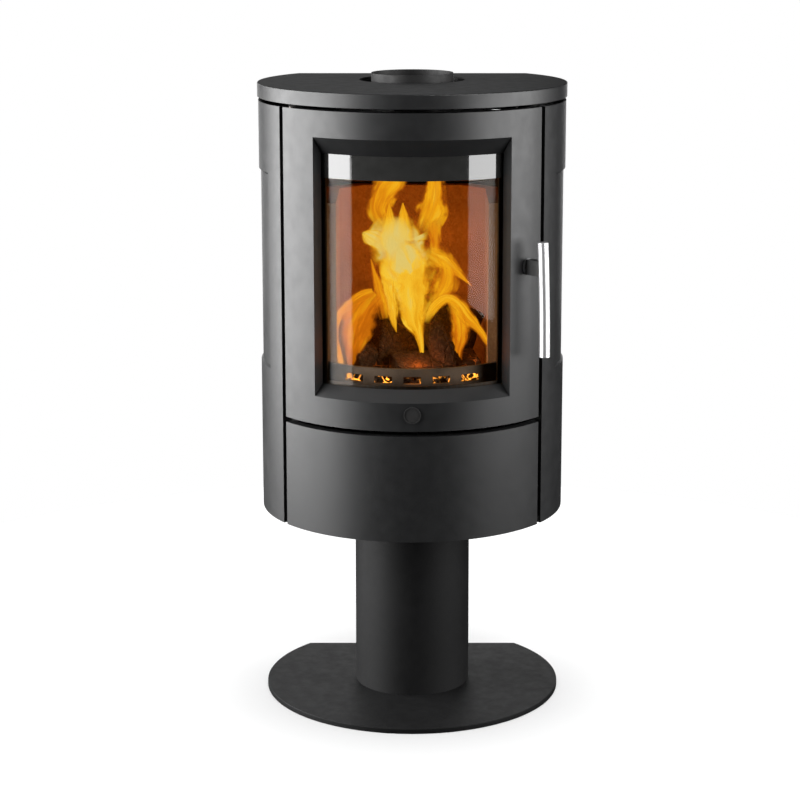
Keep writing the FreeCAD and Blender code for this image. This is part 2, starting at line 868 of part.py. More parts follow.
def make_firebox_floor():
    body = new_body("firebox_floor")
    sketch = new_sketch(body, "XY_Plane", "firebox_floor_bottom")
    add_chamber(sketch, "shell_wall", "seat_inner")
    front = "-grate_centre - grate_seat"
    add_rectangle(sketch, "-grate_seat", "grate_seat", front, "grate_seat - grate_centre")
    pad(sketch, "firebox_floor_top - firebox_floor_bottom")


def make_firebox_top():
    body = new_body("firebox_top")
    sketch = new_sketch(body, "XY_Plane", "shell_top")
    add_chamber(sketch, "0", "seat_inner")
    add_circle(sketch, "0", "flue_behind", "flue_bore")
    pad(sketch, "firebox_top_top - shell_top")


def make_door_seat():
    body = new_body("door_seat")
    band(body, "seat_inner", "seat_outer", "firebox_floor_bottom", "seat_top", "seat_half_angle")
    band_cut(
        body, "seat_inner - 1", "seat_outer + 1", "seat_opening_bottom", "seat_opening_top",
        "seat_opening_half_angle",
    )


def make_hearth_brick():
    body = new_body("hearth_brick")
    sketch = new_sketch(body, "XY_Plane", "firebox_floor_top")
    add_chamber(sketch, "shell_wall", "seat_inner")
    half = "(grate_half + grate_gap)"
    add_rectangle(sketch, f"-{half}", half, f"-grate_centre - {half}", f"{half} - grate_centre")
    pad(sketch, "hearth_top - firebox_floor_top")


def make_side_brick(side, sign):
    near = "(shell_half_width - shell_wall)"
    far = "(shell_half_width - shell_wall - brick_thickness)"
    left, right = (f"-{near}", f"-{far}") if sign < 0 else (far, near)
    block(side + "_brick", left, right, "-brick_front", "brick_split", "hearth_top", "brick_top")


def make_rear_brick():
    body = new_body("rear_brick")
    sketch = new_sketch(body, "XY_Plane", "hearth_top")
    add_u_shape(sketch, "shell_wall", "brick_thickness", "brick_split")
    pad(sketch, "brick_top - hearth_top")


def cut_rear_corners(body):
    """Trims a slab that lies inside the inner body to its chamfered rear corners."""
    half = "(shell_half_width - shell_wall)"
    back = "(shell_back - shell_wall)"
    corner = "(shell_corner - shell_wall * (2 - sqrt(2)))"
    sketch = new_sketch(body, "XY_Plane")
    for sign in (-1, 1):
        add_polygon(sketch, [
            (f"{sign} * {half}", f"{back} - {corner}"),
            (f"{sign} * {half}", back),
            (f"{sign} * ({half} - {corner})", back),
        ])
    pocket(sketch)


def make_baffle_brick():
    body = new_body("baffle_brick")
    sketch = new_sketch(body, "YZ_Plane")
    add_polygon(sketch, [
        ("-baffle_front", "baffle_front_height"),
        ("baffle_back", "baffle_back_height"),
        ("baffle_back", "baffle_back_height + baffle_thickness"),
        ("-baffle_front", "baffle_front_height + baffle_thickness"),
    ])
    pad(sketch, "2 * baffle_half_width", centred=True)
    cut_rear_corners(body)


def make_smoke_deflector():
    block(
        "smoke_deflector", "-baffle_half_width", "baffle_half_width", "-deflector_front", "deflector_back",
        "deflector_height", "deflector_height + deflector_thickness",
    )


def make_air_wash_deflector():
    body = new_body("air_wash_deflector")
    band(body, "air_wash_inner", "air_wash_outer", "air_wash_bottom", "air_wash_top", "air_wash_half_angle")


def make_rear_air_duct():
    body = new_body("rear_air_duct")
    sketch = new_sketch(body, "XY_Plane", "duct_bottom")
    add_polygon(sketch, [
        ("-duct_half_width", "shell_back"),
        ("-duct_half_width", "duct_back"),
        ("duct_half_width", "duct_back"),
        ("duct_half_width", "shell_back"),
        ("duct_half_width - duct_wall", "shell_back"),
        ("duct_half_width - duct_wall", "duct_back - duct_wall"),
        ("duct_wall - duct_half_width", "duct_back - duct_wall"),
        ("duct_wall - duct_half_width", "shell_back"),
    ])
    pad(sketch, "shell_top - duct_bottom")


def make_grate():
    body = block(
        "grate", "-grate_half", "grate_half", "-grate_centre - grate_half", "grate_half - grate_centre",
        "firebox_floor_top", "firebox_floor_top + grate_thickness",
    )
    gaps = new_sketch(body, "XY_Plane")
    reach = "(grate_half - grate_margin)"
    for step in range(GRATE_GAPS):
        centre = f"grate_bar_pitch * {step - (GRATE_GAPS - 1) / 2}"
        left = f"{centre} - grate_bar_gap / 2"
        right = f"{centre} + grate_bar_gap / 2"
        add_rectangle(gaps, left, right, f"-grate_centre - {reach}", f"{reach} - grate_centre")
    pocket(gaps)


def make_ash_chute():
    body = new_body("ash_chute")
    sketch = new_sketch(body, "XY_Plane", "chute_bottom")
    for half in ("(grate_seat + chute_wall)", "grate_seat"):
        add_rectangle(sketch, f"-{half}", half, f"-grate_centre - {half}", f"{half} - grate_centre")
    pad(sketch, "firebox_floor_bottom - chute_bottom")


def make_log_retainer():
    """A curved bar with a row of air slots, standing on four short feet."""
    body = new_body("log_retainer")
    band(body, "retainer_inner", "retainer_outer", "retainer_bottom", "retainer_top", "retainer_half_angle")
    slots = new_sketch(body, "XZ_Plane")
    for step in range(RETAINER_SLOTS):
        centre = f"retainer_slot_pitch * {step - (RETAINER_SLOTS - 1) / 2}"
        left = f"{centre} - retainer_slot_width / 2"
        right = f"{centre} + retainer_slot_width / 2"
        low = "retainer_slot_centre - retainer_slot_height / 2"
        add_rectangle(slots, left, right, low, "retainer_slot_centre + retainer_slot_height / 2")
    pocket(slots)
    for place in (-1, -1 / 3, 1 / 3, 1):
        centre = f"{place} * retainer_foot_angle"
        radial_bar(
            body, "retainer_inner", "retainer_outer", f"{centre} - retainer_foot_half",
            f"{centre} + retainer_foot_half", "hearth_top", "retainer_bottom + 1",
        )


def make_runner(side, sign):
    """A channel on the inner body's wall that holds the lip of the drawer's chassis."""
    body = new_body(side + "_drawer_runner")
    sketch = new_sketch(body, "XZ_Plane", "-runner_back")
    wall = "(shell_half_width - shell_wall)"
    lip_low = "(chassis_top - chassis_wall - runner_gap)"
    lip_high = "(chassis_top + runner_gap)"
    outline = [
        ("runner_inner", f"{lip_low} - runner_wall"),
        (wall, f"{lip_low} - runner_wall"),
        (wall, f"{lip_high} + runner_wall"),
        ("runner_inner", f"{lip_high} + runner_wall"),
        ("runner_inner", lip_high),
        (f"{wall} - runner_wall", lip_high),
        (f"{wall} - runner_wall", lip_low),
        ("runner_inner", lip_low),
    ]
    add_polygon(sketch, [(f"{sign} * ({x})", z) for x, z in outline])
    pad(sketch, "runner_front + runner_back")


# ---------------------------------------------------------------- door and its hinges

HINGE_X = "(-hinge_radius * sin(hinge_angle))"
HINGE_Y = "(-hinge_radius * cos(hinge_angle))"


def make_hinge_bracket(label, low, root_x, root_y):
    """A flat arm from the inner body to the hinge's axis, with a hole for the pin."""
    body = new_body(label)
    sketch = new_sketch(body, "XY_Plane", low)
    add_polygon(sketch, [
        (f"{HINGE_X} - bracket_half_width * 0.7", f"{HINGE_Y} + bracket_half_width * 0.7"),
        (f"{HINGE_X} - bracket_half_width * 0.7", f"{HINGE_Y} - bracket_half_width * 0.6"),
        (f"{HINGE_X} + bracket_half_width", f"{HINGE_Y} - bracket_half_width * 0.8"),
        (root_x, f"{root_y} - bracket_half_width * 2"),
        (root_x, f"{root_y} + bracket_half_width * 3"),
    ])
    pad(sketch, "bracket_thickness")
    hole = new_sketch(body, "XY_Plane")
    add_circle(hole, HINGE_X, HINGE_Y, "hinge_pin_radius")
    pocket(hole)
    return body


def make_hinge_brackets():
    high = "body_top + bracket_rise"
    upper = make_hinge_bracket("upper_hinge_bracket", high, "-bracket_leg_inner", "-bracket_upper_front")
    leg = new_sketch(upper, "XY_Plane", "firebox_top_top")
    left, right = "-bracket_leg_outer", "-bracket_leg_inner"
    add_rectangle(leg, left, right, "-bracket_leg_front", "-bracket_leg_back")
    pad(leg, f"{high} + bracket_thickness / 2 - firebox_top_top")
    low = "door_bottom - bracket_gap - bracket_thickness"
    make_hinge_bracket("lower_hinge_bracket", low, "-shell_half_width", "-bracket_lower_front")


def make_hinge_pins():
    body = new_body("hinge_pins")
    low = "door_bottom - bracket_gap - bracket_thickness"
    high = "body_top + bracket_rise + bracket_thickness"
    cylinder(body, HINGE_X, HINGE_Y, "hinge_pin_radius", low, "door_bottom + hinge_pin_engagement")
    cylinder(body, HINGE_X, HINGE_Y, "hinge_pin_radius", "body_top - hinge_pin_engagement", high)


def make_hinge_bushes():
    body = new_body("hinge_bushes")
    for low in ("door_bottom", "body_top - hinge_bush_length"):
        sketch = new_sketch(body, "XY_Plane", low)
        add_circle(sketch, HINGE_X, HINGE_Y, "hinge_bush_radius")
        add_circle(sketch, HINGE_X, HINGE_Y, "hinge_pin_radius + hinge_running_gap")
        pad(sketch, "hinge_bush_length")


def make_door_frame():
    """A hollow-backed curved frame whose window opening slopes inwards at top and bottom."""
    body = new_body("door_frame")
    band(body, "door_inner", "skin_radius", "door_bottom", "body_top", "door_half_angle")
    slope_low = "(sight_bottom - window_bottom) / (skin_radius - door_inner)"
    slope_high = "(window_top - sight_top) / (skin_radius - door_inner)"
    sloped_cut(
        body,
        ("door_inner - 1", f"sight_bottom + {slope_low}", f"sight_top - {slope_high}"),
        ("skin_radius + 1", f"window_bottom - {slope_low}", f"window_top + {slope_high}"),
        "window_half_angle",
    )
    inside = "skin_radius - door_skin"
    hollows = (("rail_hollow_top", "body_top - door_skin"), ("door_bottom + door_skin", "rail_hollow_bottom"))
    for low, high in hollows:
        band_cut(body, "door_inner - 1", inside, low, high, "rail_hollow_half_angle")
    for low in ("door_bottom - 1", "body_top - hinge_bush_length"):
        seat = new_sketch(body, "XY_Plane", low)
        add_circle(seat, HINGE_X, HINGE_Y, "hinge_bush_radius")
        pocket(seat, "hinge_bush_length + 1", upward=True)
    bore = new_sketch(body, "XZ_Plane", turn="spindle_angle")
    add_circle(bore, "0", "spindle_height", "spindle_bush_radius")
    pocket(bore)


GLASS_LOW = "(sight_bottom - glass_lap)"
GLASS_HIGH = "(sight_top + glass_lap)"


def make_door_glass():
    body = new_body("door_glass")
    band(body, "glass_inner", "glass_outer", GLASS_LOW, GLASS_HIGH, "glass_half_angle")


def make_glass_gasket():
    body = new_body("glass_gasket")
    band(body, "glass_outer", "door_inner", GLASS_LOW, GLASS_HIGH, "glass_half_angle")
    low = "sight_bottom - gasket_setback"
    high = "sight_top + gasket_setback"
    half = "window_half_angle + gasket_setback_angle"
    band_cut(body, "glass_outer - 1", "door_inner + 1", low, high, half)


def make_door_liner():
    body = new_body("door_liner")
    band(body, "liner_inner", "glass_inner", "liner_bottom", "liner_top", "liner_half_angle")
    band_cut(
        body, "liner_inner - 1", "glass_inner + 1", "liner_opening_bottom", "liner_opening_top",
        "liner_opening_half_angle",
    )
    bore = new_sketch(body, "XZ_Plane", turn="spindle_angle")
    add_circle(bore, "0", "spindle_height", "spindle_bush_radius")
    pocket(bore)


def make_glass_carrier():
    """A frame that fills the step between the liner and the door frame, round the glass."""
    body = new_body("glass_carrier")
    band(body, "glass_inner", "door_inner", "liner_bottom", "liner_top", "liner_half_angle")
    low = f"{GLASS_LOW} - glass_end_gap"
    high = f"{GLASS_HIGH} + glass_end_gap"
    half = "glass_half_angle + glass_side_gap_angle"
    band_cut(body, "glass_inner - 1", "door_inner + 1", low, high, half)
    bore = new_sketch(body, "XZ_Plane", turn="spindle_angle")
    add_circle(bore, "0", "spindle_height", "spindle_bush_radius")
    pocket(bore)


def make_liner_screws():
    body = new_body("liner_screws")
    middle = "(liner_screw_low + liner_screw_high) / 2"
    sides = [(side, height) for side in (-1, 1) for height in ("liner_screw_low", middle, "liner_screw_high")]
    ends = [(0, "liner_screw_low"), (0, "liner_screw_high")]
    for side, height in sides + ends:
        turn = f"{side} * liner_screw_angle"
        sketch = new_sketch(body, "XZ_Plane", "liner_inner - liner_screw_height", turn)
        add_circle(sketch, "0", height, "liner_screw_radius")
        pad(sketch, "liner_screw_height - liner_screw_gap")


def make_rope_seal():
    body = new_body("rope_seal")
    inner = "seat_outer + rope_clearance"
    outer = "liner_inner"
    band(body, inner, outer, "rope_bottom - rope_width", "rope_top + rope_width", "rope_outer_half_angle")
    band_cut(body, f"{inner} - 1", f"{outer} + 1", "rope_bottom", "rope_top", "rope_inner_half_angle")


def radial_cylinder(body, radius, near, far, bore=None):
    """A round bar or tube along the spindle's axis, between two distances from the pedestal's axis."""
    sketch = new_sketch(body, "XZ_Plane", near)
    add_circle(sketch, "0", "spindle_height", radius)
    if bore:
        add_circle(sketch, "0", "spindle_height", bore)
    pad(sketch, f"({far}) - ({near})")


def make_round_plate():
    """A plain round plate with a raised rim on the door's lower rail."""
    body = new_body("round_plate")
    for radius, bore, near, far in (
        ("plate_radius", None, "skin_radius", "skin_radius + plate_proud"),
        ("plate_radius", "plate_radius - plate_rim", "skin_radius", "skin_radius + plate_proud * 2"),
    ):
        sketch = new_sketch(body, "XZ_Plane", near)
        add_circle(sketch, "0", "plate_height", radius)
        if bore:
            add_circle(sketch, "0", "plate_height", bore)
        pad(sketch, f"({far}) - ({near})")


def make_spindle_bush():
    body = new_body("spindle_bush")
    bore = "spindle_radius + spindle_running_gap"
    radial_cylinder(body, "spindle_bush_radius", "liner_inner", "skin_radius + 2 * rosette_overlap", bore)
    radial_cylinder(
        body, "rosette_radius", "skin_radius + rosette_overlap", "skin_radius + rosette_thickness", bore,
    )
    turn_body(body, "spindle_angle")


# ---------------------------------------------------------------- handle and latch

def make_handle_spindle():
    body = new_body("handle_spindle")
    far = "bar_top_out - bar_radius - spindle_setback"
    radial_cylinder(body, "spindle_radius", "cam_inner - nut_thickness", far)
    turn_body(body, "spindle_angle")


def make_spindle_nut():
    body = new_body("spindle_nut")
    sketch = new_sketch(body, "XZ_Plane", "cam_inner - nut_thickness")
    add_hexagon(sketch, "0", "spindle_height", "nut_across")
    add_circle(sketch, "0", "spindle_height", "spindle_radius")
    pad(sketch, "nut_thickness")
    turn_body(body, "spindle_angle")


def make_latch_cam():
    body = new_body("latch_cam")
    radial_cylinder(body, "cam_hub_radius", "cam_inner", "cam_outer")
    tongue = new_sketch(body, "XZ_Plane", "cam_inner")
    low = "spindle_height - cam_half_width"
    add_rectangle(tongue, "0", "cam_length", low, "spindle_height + cam_half_width")
    pad(tongue, "cam_outer - cam_inner")
    hole = new_sketch(body, "XZ_Plane")
    add_circle(hole, "0", "spindle_height", "spindle_radius")
    pocket(hole)
    turn_body(body, "spindle_angle")


def add_bar_path(sketch):
    """The handle bar's axis in the plane through the pedestal's axis: a slightly bowed arc."""
    low = Vector(-value("bar_bottom_out"), value("bar_bottom"), 0)
    high = Vector(-value("bar_top_out"), value("bar_top"), 0)
    chord = high - low
    bow = value("bar_bow_radius") - (value("bar_bow_radius") ** 2 - (chord.Length / 2) ** 2) ** 0.5
    outward = Vector(-chord.y, chord.x, 0).normalize()
    arc = sketch.addGeometry(Part.Arc(low, (low + high) / 2 + outward * bow, high))
    ends = (1, 2) if sketch.getPoint(arc, 1).y < sketch.getPoint(arc, 2).y else (2, 1)
    pin_point(sketch, arc, ends[0], "-bar_bottom_out", "bar_bottom")
    pin_point(sketch, arc, ends[1], "-bar_top_out", "bar_top")
    set_radius(sketch, arc, "bar_bow_radius")


def make_handle_bar():
    body = new_body("handle_bar")
    path = new_sketch(body, "YZ_Plane")
    add_bar_path(path)
    section = new_sketch(body, "XY_Plane", "bar_bottom")
    add_circle(section, "0", "-bar_bottom_out", "bar_radius")
    DOC.recompute()
    pipe = body.newObject("PartDesign::AdditivePipe", "AdditivePipe")
    pipe.Profile = section
    pipe.Spine = (path, ["Edge1"])
    DOC.recompute()
    ends = []
    for number, edge in enumerate(pipe.Shape.Edges, start=1):
        if edge.BoundBox.ZLength < value("bar_radius") / 2:
            ends.append(f"Edge{number}")
    rounding = body.newObject("PartDesign::Fillet", "Fillet")
    rounding.Base = (pipe, ends)
    rounding.setExpression("Radius", bound("bar_edge"))
    DOC.recompute()
    turn_body(body, "spindle_angle")


def make_handle_arm():
    """A block from the rosette to the bar, hollowed where the bar and the spindle pass."""
    body = new_body("handle_arm")
    near = "skin_radius + rosette_thickness + arm_gap"
    sketch = new_sketch(body, "XZ_Plane", near)
    low = "spindle_height - arm_half_height"
    add_rectangle(sketch, "-arm_half_width", "arm_half_width", low, "spindle_height + arm_half_height")
    pad(sketch, f"bar_top_out - ({near})")
    hole = new_sketch(body, "XY_Plane")
    add_circle(hole, "0", "-(bar_top_out + bar_seat_offset)", "bar_radius + bar_seat_gap")
    pocket(hole)
    spindle = new_sketch(body, "XZ_Plane")
    add_circle(spindle, "0", "spindle_height", "spindle_radius")
    pocket(spindle)
    turn_body(body, "spindle_angle")


def make_latch_keeper():
    """A plate on the inner body's wall whose nose stands beside the tip of the latch cam."""
    body = new_body("latch_keeper")
    low = "spindle_height - keeper_half_height"
    sketch = new_sketch(body, "XY_Plane", low)
    add_polygon(sketch, [
        ("shell_half_width", "-keeper_back - keeper_plate"),
        ("keeper_left", "-keeper_back - keeper_plate"),
        ("keeper_left", "-keeper_front"),
        ("keeper_right", "-keeper_front"),
        ("keeper_right", "-keeper_back"),
        ("shell_half_width", "-keeper_back"),
    ])
    pad(sketch, "2 * keeper_half_height")


# ---------------------------------------------------------------- ash drawer

def make_drawer_front():
    """The curved lower front, with folded edges all round."""
    body = new_body("drawer_front")
    outer = "skin_radius"
    inner = "(skin_radius - skin_wall)"
    turn_feature(body, "PartDesign::Revolution", [
        (f"-{outer}", "body_bottom"),
        ("-drawer_flange_radius", "body_bottom"),
        ("-drawer_flange_radius", "body_bottom + skin_wall"),
        (f"-{inner}", "body_bottom + skin_wall"),
        (f"-{inner}", "drawer_top - skin_wall"),
        ("-drawer_flange_radius", "drawer_top - skin_wall"),
        ("-drawer_flange_radius", "drawer_top"),
        (f"-{outer}", "drawer_top"),
    ], "2 * door_half_angle")
    DOC.recompute()
    for edge in (-1, 1):
        radial_bar(
            body, "drawer_flange_radius", f"{inner} + fold_overlap",
            f"{edge} * (door_half_angle - panel_flange_angle)", f"{edge} * door_half_angle",
            "body_bottom", "drawer_top",
        )


def add_tray_plan(sketch, half_width, back, front_radius):
    """A tray's plan: straight sides and back, and a front that follows the drawer's curve."""
    front = f"-sqrt(({front_radius})^2 - ({half_width})^2)"
    arc = add_front_arc(sketch, front_radius, half_width, front)
    lines = join_to_arc(sketch, arc, [(f"-({half_width})", back), (half_width, back)])
    sketch.addConstraint(Sketcher.Constraint("Vertical", lines[0]))
    sketch.addConstraint(Sketcher.Constraint("Vertical", lines[-1]))


def make_drawer_chassis():
    body = new_body("drawer_chassis")
    plan = new_sketch(body, "XY_Plane", "chassis_bottom")
    add_tray_plan(plan, "chassis_half_width", "chassis_back", "skin_radius - skin_wall")
    pad(plan, "chassis_top - chassis_bottom")
    hollow = new_sketch(body, "XY_Plane", "chassis_bottom + chassis_wall")
    half = "chassis_half_width - chassis_wall"
    add_tray_plan(hollow, half, "chassis_back - chassis_wall", "skin_radius - skin_wall - chassis_wall")
    pocket(hollow, "chassis_top", upward=True)
    for sign in (-1, 1):
        lip = new_sketch(body, "XY_Plane", "chassis_top - chassis_wall")
        near = f"{sign} * (chassis_half_width - chassis_wall)"
        far = f"{sign} * (chassis_half_width + chassis_lip)"
        left, right = (far, near) if sign < 0 else (near, far)
        add_rectangle(lip, left, right, "-runner_front", "chassis_back")
        pad(lip, "chassis_wall")


def make_ash_pan():
    """A folded box with a rim turned out round its mouth."""
    body = block(
        "ash_pan", "-ash_pan_half_width", "ash_pan_half_width", "-ash_pan_front", "ash_pan_back",
        "ash_pan_bottom", "ash_pan_top",
    )
    rim = new_sketch(body, "XY_Plane", "ash_pan_top - ash_pan_wall")
    half = "(ash_pan_half_width + ash_pan_rim)"
    add_rectangle(rim, f"-{half}", half, "-ash_pan_front - ash_pan_rim", "ash_pan_back + ash_pan_rim")
    pad(rim, "ash_pan_wall")
    hollow = new_sketch(body, "XY_Plane", "ash_pan_bottom + ash_pan_wall")
    inside = "(ash_pan_half_width - ash_pan_wall)"
    front = "-ash_pan_front + ash_pan_wall"
    add_rectangle(hollow, f"-{inside}", inside, front, "ash_pan_back - ash_pan_wall")
    pocket(hollow, "ash_pan_top - ash_pan_bottom", upward=True)


# ---------------------------------------------------------------- combustion air control

VALVE_BOTTOM = f"({FLOOR_TOP} + valve_gap)"
VALVE_TOP = f"({FLOOR_TOP} + valve_gap + valve_thickness)"


def make_valve_disc():
    body = new_body("valve_disc")
    sketch = new_sketch(body, "XY_Plane", VALVE_BOTTOM)
    add_circle(sketch, "0", "0", "valve_radius")
    add_circle(sketch, "0", "0", "pivot_radius + pivot_running_gap")
    for x, y in ring_of(AIR_PORTS, "port_circle"):
        add_circle(sketch, x, y, "port_radius")
    pad(sketch, "valve_thickness")


def make_valve_pivot():
    body = new_body("valve_pivot")
    head = f"{VALVE_TOP} + valve_gap"
    cylinder(body, "0", "0", "pivot_radius", FLOOR_BOTTOM, f"{head} + pivot_head_overlap")
    cylinder(body, "0", "0", "pivot_head_radius", head, f"{head} + pivot_head_height")


def make_air_lever():
    """A flat arm on the valve disc, with a stem down through the floor's slot."""
    body = block(
        "air_lever", "-lever_half_width", "lever_half_width", "-lever_end", "-lever_start",
        VALVE_TOP, f"{VALVE_TOP} + valve_thickness",
    )
    cylinder(body, "0", "-knob_circle", "knob_stem_radius", "knob_top", f"{VALVE_TOP} + 1")


def make_air_knob():
    body = new_body("air_knob")
    cylinder(body, "0", "-knob_circle", "knob_radius", "knob_bottom", "knob_top")
    round_face(body, "knob_bottom", "knob_edge")


# ---------------------------------------------------------------- build, check and write

def build_stove():
    make_base_plate()
    make_foot_screws()
    make_pedestal_tube()
    make_foot_ring()
    make_head_flange()
    make_head_bolts()
    make_body_floor()
    make_back_panel()
    make_rear_outlet_cover()
    make_top_plate()
    make_flue_collar()
    make_top_spacers()
    make_panel_standoffs()
    make_inner_shell()
    make_firebox_floor()
    make_firebox_top()
    make_door_seat()
    make_hearth_brick()
    make_rear_brick()
    make_baffle_brick()
    make_smoke_deflector()
    make_air_wash_deflector()
    make_rear_air_duct()
    make_grate()
    make_ash_chute()
    make_log_retainer()
    make_hinge_brackets()
    make_hinge_pins()
    make_hinge_bushes()
    make_door_frame()
    make_door_glass()
    make_glass_gasket()
    make_door_liner()
    make_glass_carrier()
    make_liner_screws()
    make_rope_seal()
    make_round_plate()
    make_spindle_bush()
    make_handle_spindle()
    make_spindle_nut()
    make_latch_cam()
    make_handle_bar()
    make_handle_arm()
    make_latch_keeper()
    make_drawer_front()
    make_drawer_chassis()
    make_ash_pan()
    make_valve_disc()
    make_valve_pivot()
    make_air_lever()
    make_air_knob()
    for side, sign in (("left", -1), ("right", 1)):
        make_side_panel(side, sign)
        make_side_inlay(side, sign)
        make_side_brick(side, sign)
        make_runner(side, sign)


def check_document():
    """Stops if any object failed or any sub-part has no valid solid."""
    for item in DOC.Objects:
        if any(word in ("Invalid", "Error") for word in item.State):
            raise ValueError(f"{item.Label} ({item.Name}) failed: {item.State}")
    for node in NODES:
        shape = node.Shape
        if shape.isNull() or not shape.isValid() or not shape.Solids:
            raise ValueError(f"{node.Label} has no valid solid")


def write_parts():
    os.makedirs("parts", exist_ok=True)
    for node in NODES:
        node.Shape.exportStep(f"parts/{node.Label}.step")


build_stove()
DOC.recompute()
check_document()
write_parts()
print(f"wrote {len(NODES)} sub-parts")
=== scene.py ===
"""The looks of a wood burning stove on a pedestal: materials, fire, glass print, studio and camera.

Lengths are in metres, and in the table of flames in millimetres, in the stove's own frame: the origin
is on the pedestal's axis at the floor, +X is to the right of someone facing the door, +Y points to the
back and +Z up.
"""
import json
import math
import random

import bmesh
import bpy
from mathutils import Matrix, Vector, noise

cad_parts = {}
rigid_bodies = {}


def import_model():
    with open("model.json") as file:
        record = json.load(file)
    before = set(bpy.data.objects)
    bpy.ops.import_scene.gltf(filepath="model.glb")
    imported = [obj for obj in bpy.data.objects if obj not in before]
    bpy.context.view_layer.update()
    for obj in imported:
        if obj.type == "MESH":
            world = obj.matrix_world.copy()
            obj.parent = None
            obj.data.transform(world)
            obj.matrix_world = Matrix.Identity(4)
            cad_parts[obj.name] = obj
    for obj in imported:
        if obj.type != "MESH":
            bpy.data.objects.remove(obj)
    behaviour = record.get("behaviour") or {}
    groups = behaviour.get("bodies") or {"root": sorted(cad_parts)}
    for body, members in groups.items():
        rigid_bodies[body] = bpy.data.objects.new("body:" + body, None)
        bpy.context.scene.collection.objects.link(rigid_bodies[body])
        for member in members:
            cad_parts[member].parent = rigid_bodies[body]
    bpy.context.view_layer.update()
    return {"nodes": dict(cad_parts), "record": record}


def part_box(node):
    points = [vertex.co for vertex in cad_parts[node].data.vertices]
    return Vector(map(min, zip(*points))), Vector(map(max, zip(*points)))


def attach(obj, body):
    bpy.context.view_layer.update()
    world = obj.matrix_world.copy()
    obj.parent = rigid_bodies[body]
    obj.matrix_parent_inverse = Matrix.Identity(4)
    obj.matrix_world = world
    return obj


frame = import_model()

NODES = frame["nodes"]

MM = 0.001

# Camera, in metres and degrees; its lens and sensor are in millimetres.
CAMERA_DISTANCE = 3.569
CAMERA_HEIGHT = 1.330
CAMERA_TILT = 11.34
CAMERA_LENS = 97.67
CAMERA_SENSOR = 36.0
CAMERA_SHIFT = (-0.0153, -0.085)

# Interior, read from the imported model.
HEARTH_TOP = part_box("hearth_brick")[1].z
BRICK_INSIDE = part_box("right_brick")[0].x
GLASS_OUTSIDE = -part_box("door_glass")[0].y


# ---------------------------------------------------------------- node helpers

class Shader:
    """A material under construction: its nodes, its links and one Principled shader."""

    def __init__(self, name):
        self.material = bpy.data.materials.new(name)
        self.material.use_nodes = True
        self.tree = self.material.node_tree
        self.tree.nodes.clear()
        self.output = self.tree.nodes.new("ShaderNodeOutputMaterial")
        self.surface = self.tree.nodes.new("ShaderNodeBsdfPrincipled")
        self.link(self.surface.outputs["BSDF"], self.output.inputs["Surface"])
        self.where = self.tree.nodes.new("ShaderNodeTexCoord").outputs["Object"]

    def link(self, source, target):
        self.tree.links.new(source, target)

    def set(self, **values):
        """Plain numbers and colours on the shader's own sockets, named with _ for spaces."""
        for name, number in values.items():
            self.surface.inputs[name.replace("_", " ")].default_value = number

    def node(self, kind, **settings):
        made = self.tree.nodes.new(kind)
        for name, setting in settings.items():
            setattr(made, name, setting)
        return made

    def stretched(self, scale):
        """The object's coordinates, scaled differently along each axis."""
        mapping = self.node("ShaderNodeMapping")
        self.link(self.where, mapping.inputs["Vector"])
        mapping.inputs["Scale"].default_value = scale
        return mapping.outputs["Vector"]

    def noise(self, scale, detail=4.0, roughness=0.55, vector=None, distortion=0.0):
        made = self.node("ShaderNodeTexNoise")
        self.link(vector or self.where, made.inputs["Vector"])
        made.inputs["Scale"].default_value = scale
        made.inputs["Detail"].default_value = detail
        made.inputs["Roughness"].default_value = roughness
        made.inputs["Distortion"].default_value = distortion
        return made.outputs["Fac"]

    def cells(self, scale, vector=None, feature="F1", output="Distance"):
        made = self.node("ShaderNodeTexVoronoi", feature=feature)
        self.link(vector or self.where, made.inputs["Vector"])
        made.inputs["Scale"].default_value = scale
        return made.outputs[output]

    def span(self, value, low, high, start=0.0, end=1.0):
        """value, mapped from start..end to low..high and held at the ends."""
        made = self.node("ShaderNodeMapRange")
        self.link(value, made.inputs["Value"])
        made.inputs["From Min"].default_value = start
        made.inputs["From Max"].default_value = end
        made.inputs["To Min"].default_value = low
        made.inputs["To Max"].default_value = high
        return made.outputs["Result"]

    def times(self, first, second):
        made = self.node("ShaderNodeMath", operation="MULTIPLY")
        self.link(first, made.inputs[0])
        if isinstance(second, (int, float)):
            made.inputs[1].default_value = second
        else:
            self.link(second, made.inputs[1])
        return made.outputs[0]

    def ramp(self, value, *stops):
        """A colour for each value: stops are (position, (r, g, b))."""
        made = self.node("ShaderNodeValToRGB")
        self.link(value, made.inputs["Fac"])
        elements = made.color_ramp.elements
        for element, (position, colour) in ((elements[0], stops[0]), (elements[-1], stops[-1])):
            element.position = position
            element.color = (*colour, 1.0)
        for position, colour in stops[1:-1]:
            elements.new(position).color = (*colour, 1.0)
        return made.outputs["Color"]

    def bump(self, height, strength, distance, below=None):
        made = self.node("ShaderNodeBump")
        self.link(height, made.inputs["Height"])
        made.inputs["Strength"].default_value = strength
        made.inputs["Distance"].default_value = distance
        if below is not None:
            self.link(below, made.inputs["Normal"])
        return made.outputs["Normal"]

    def into(self, **sources):
        for name, source in sources.items():
            self.link(source, self.surface.inputs[name.replace("_", " ")])


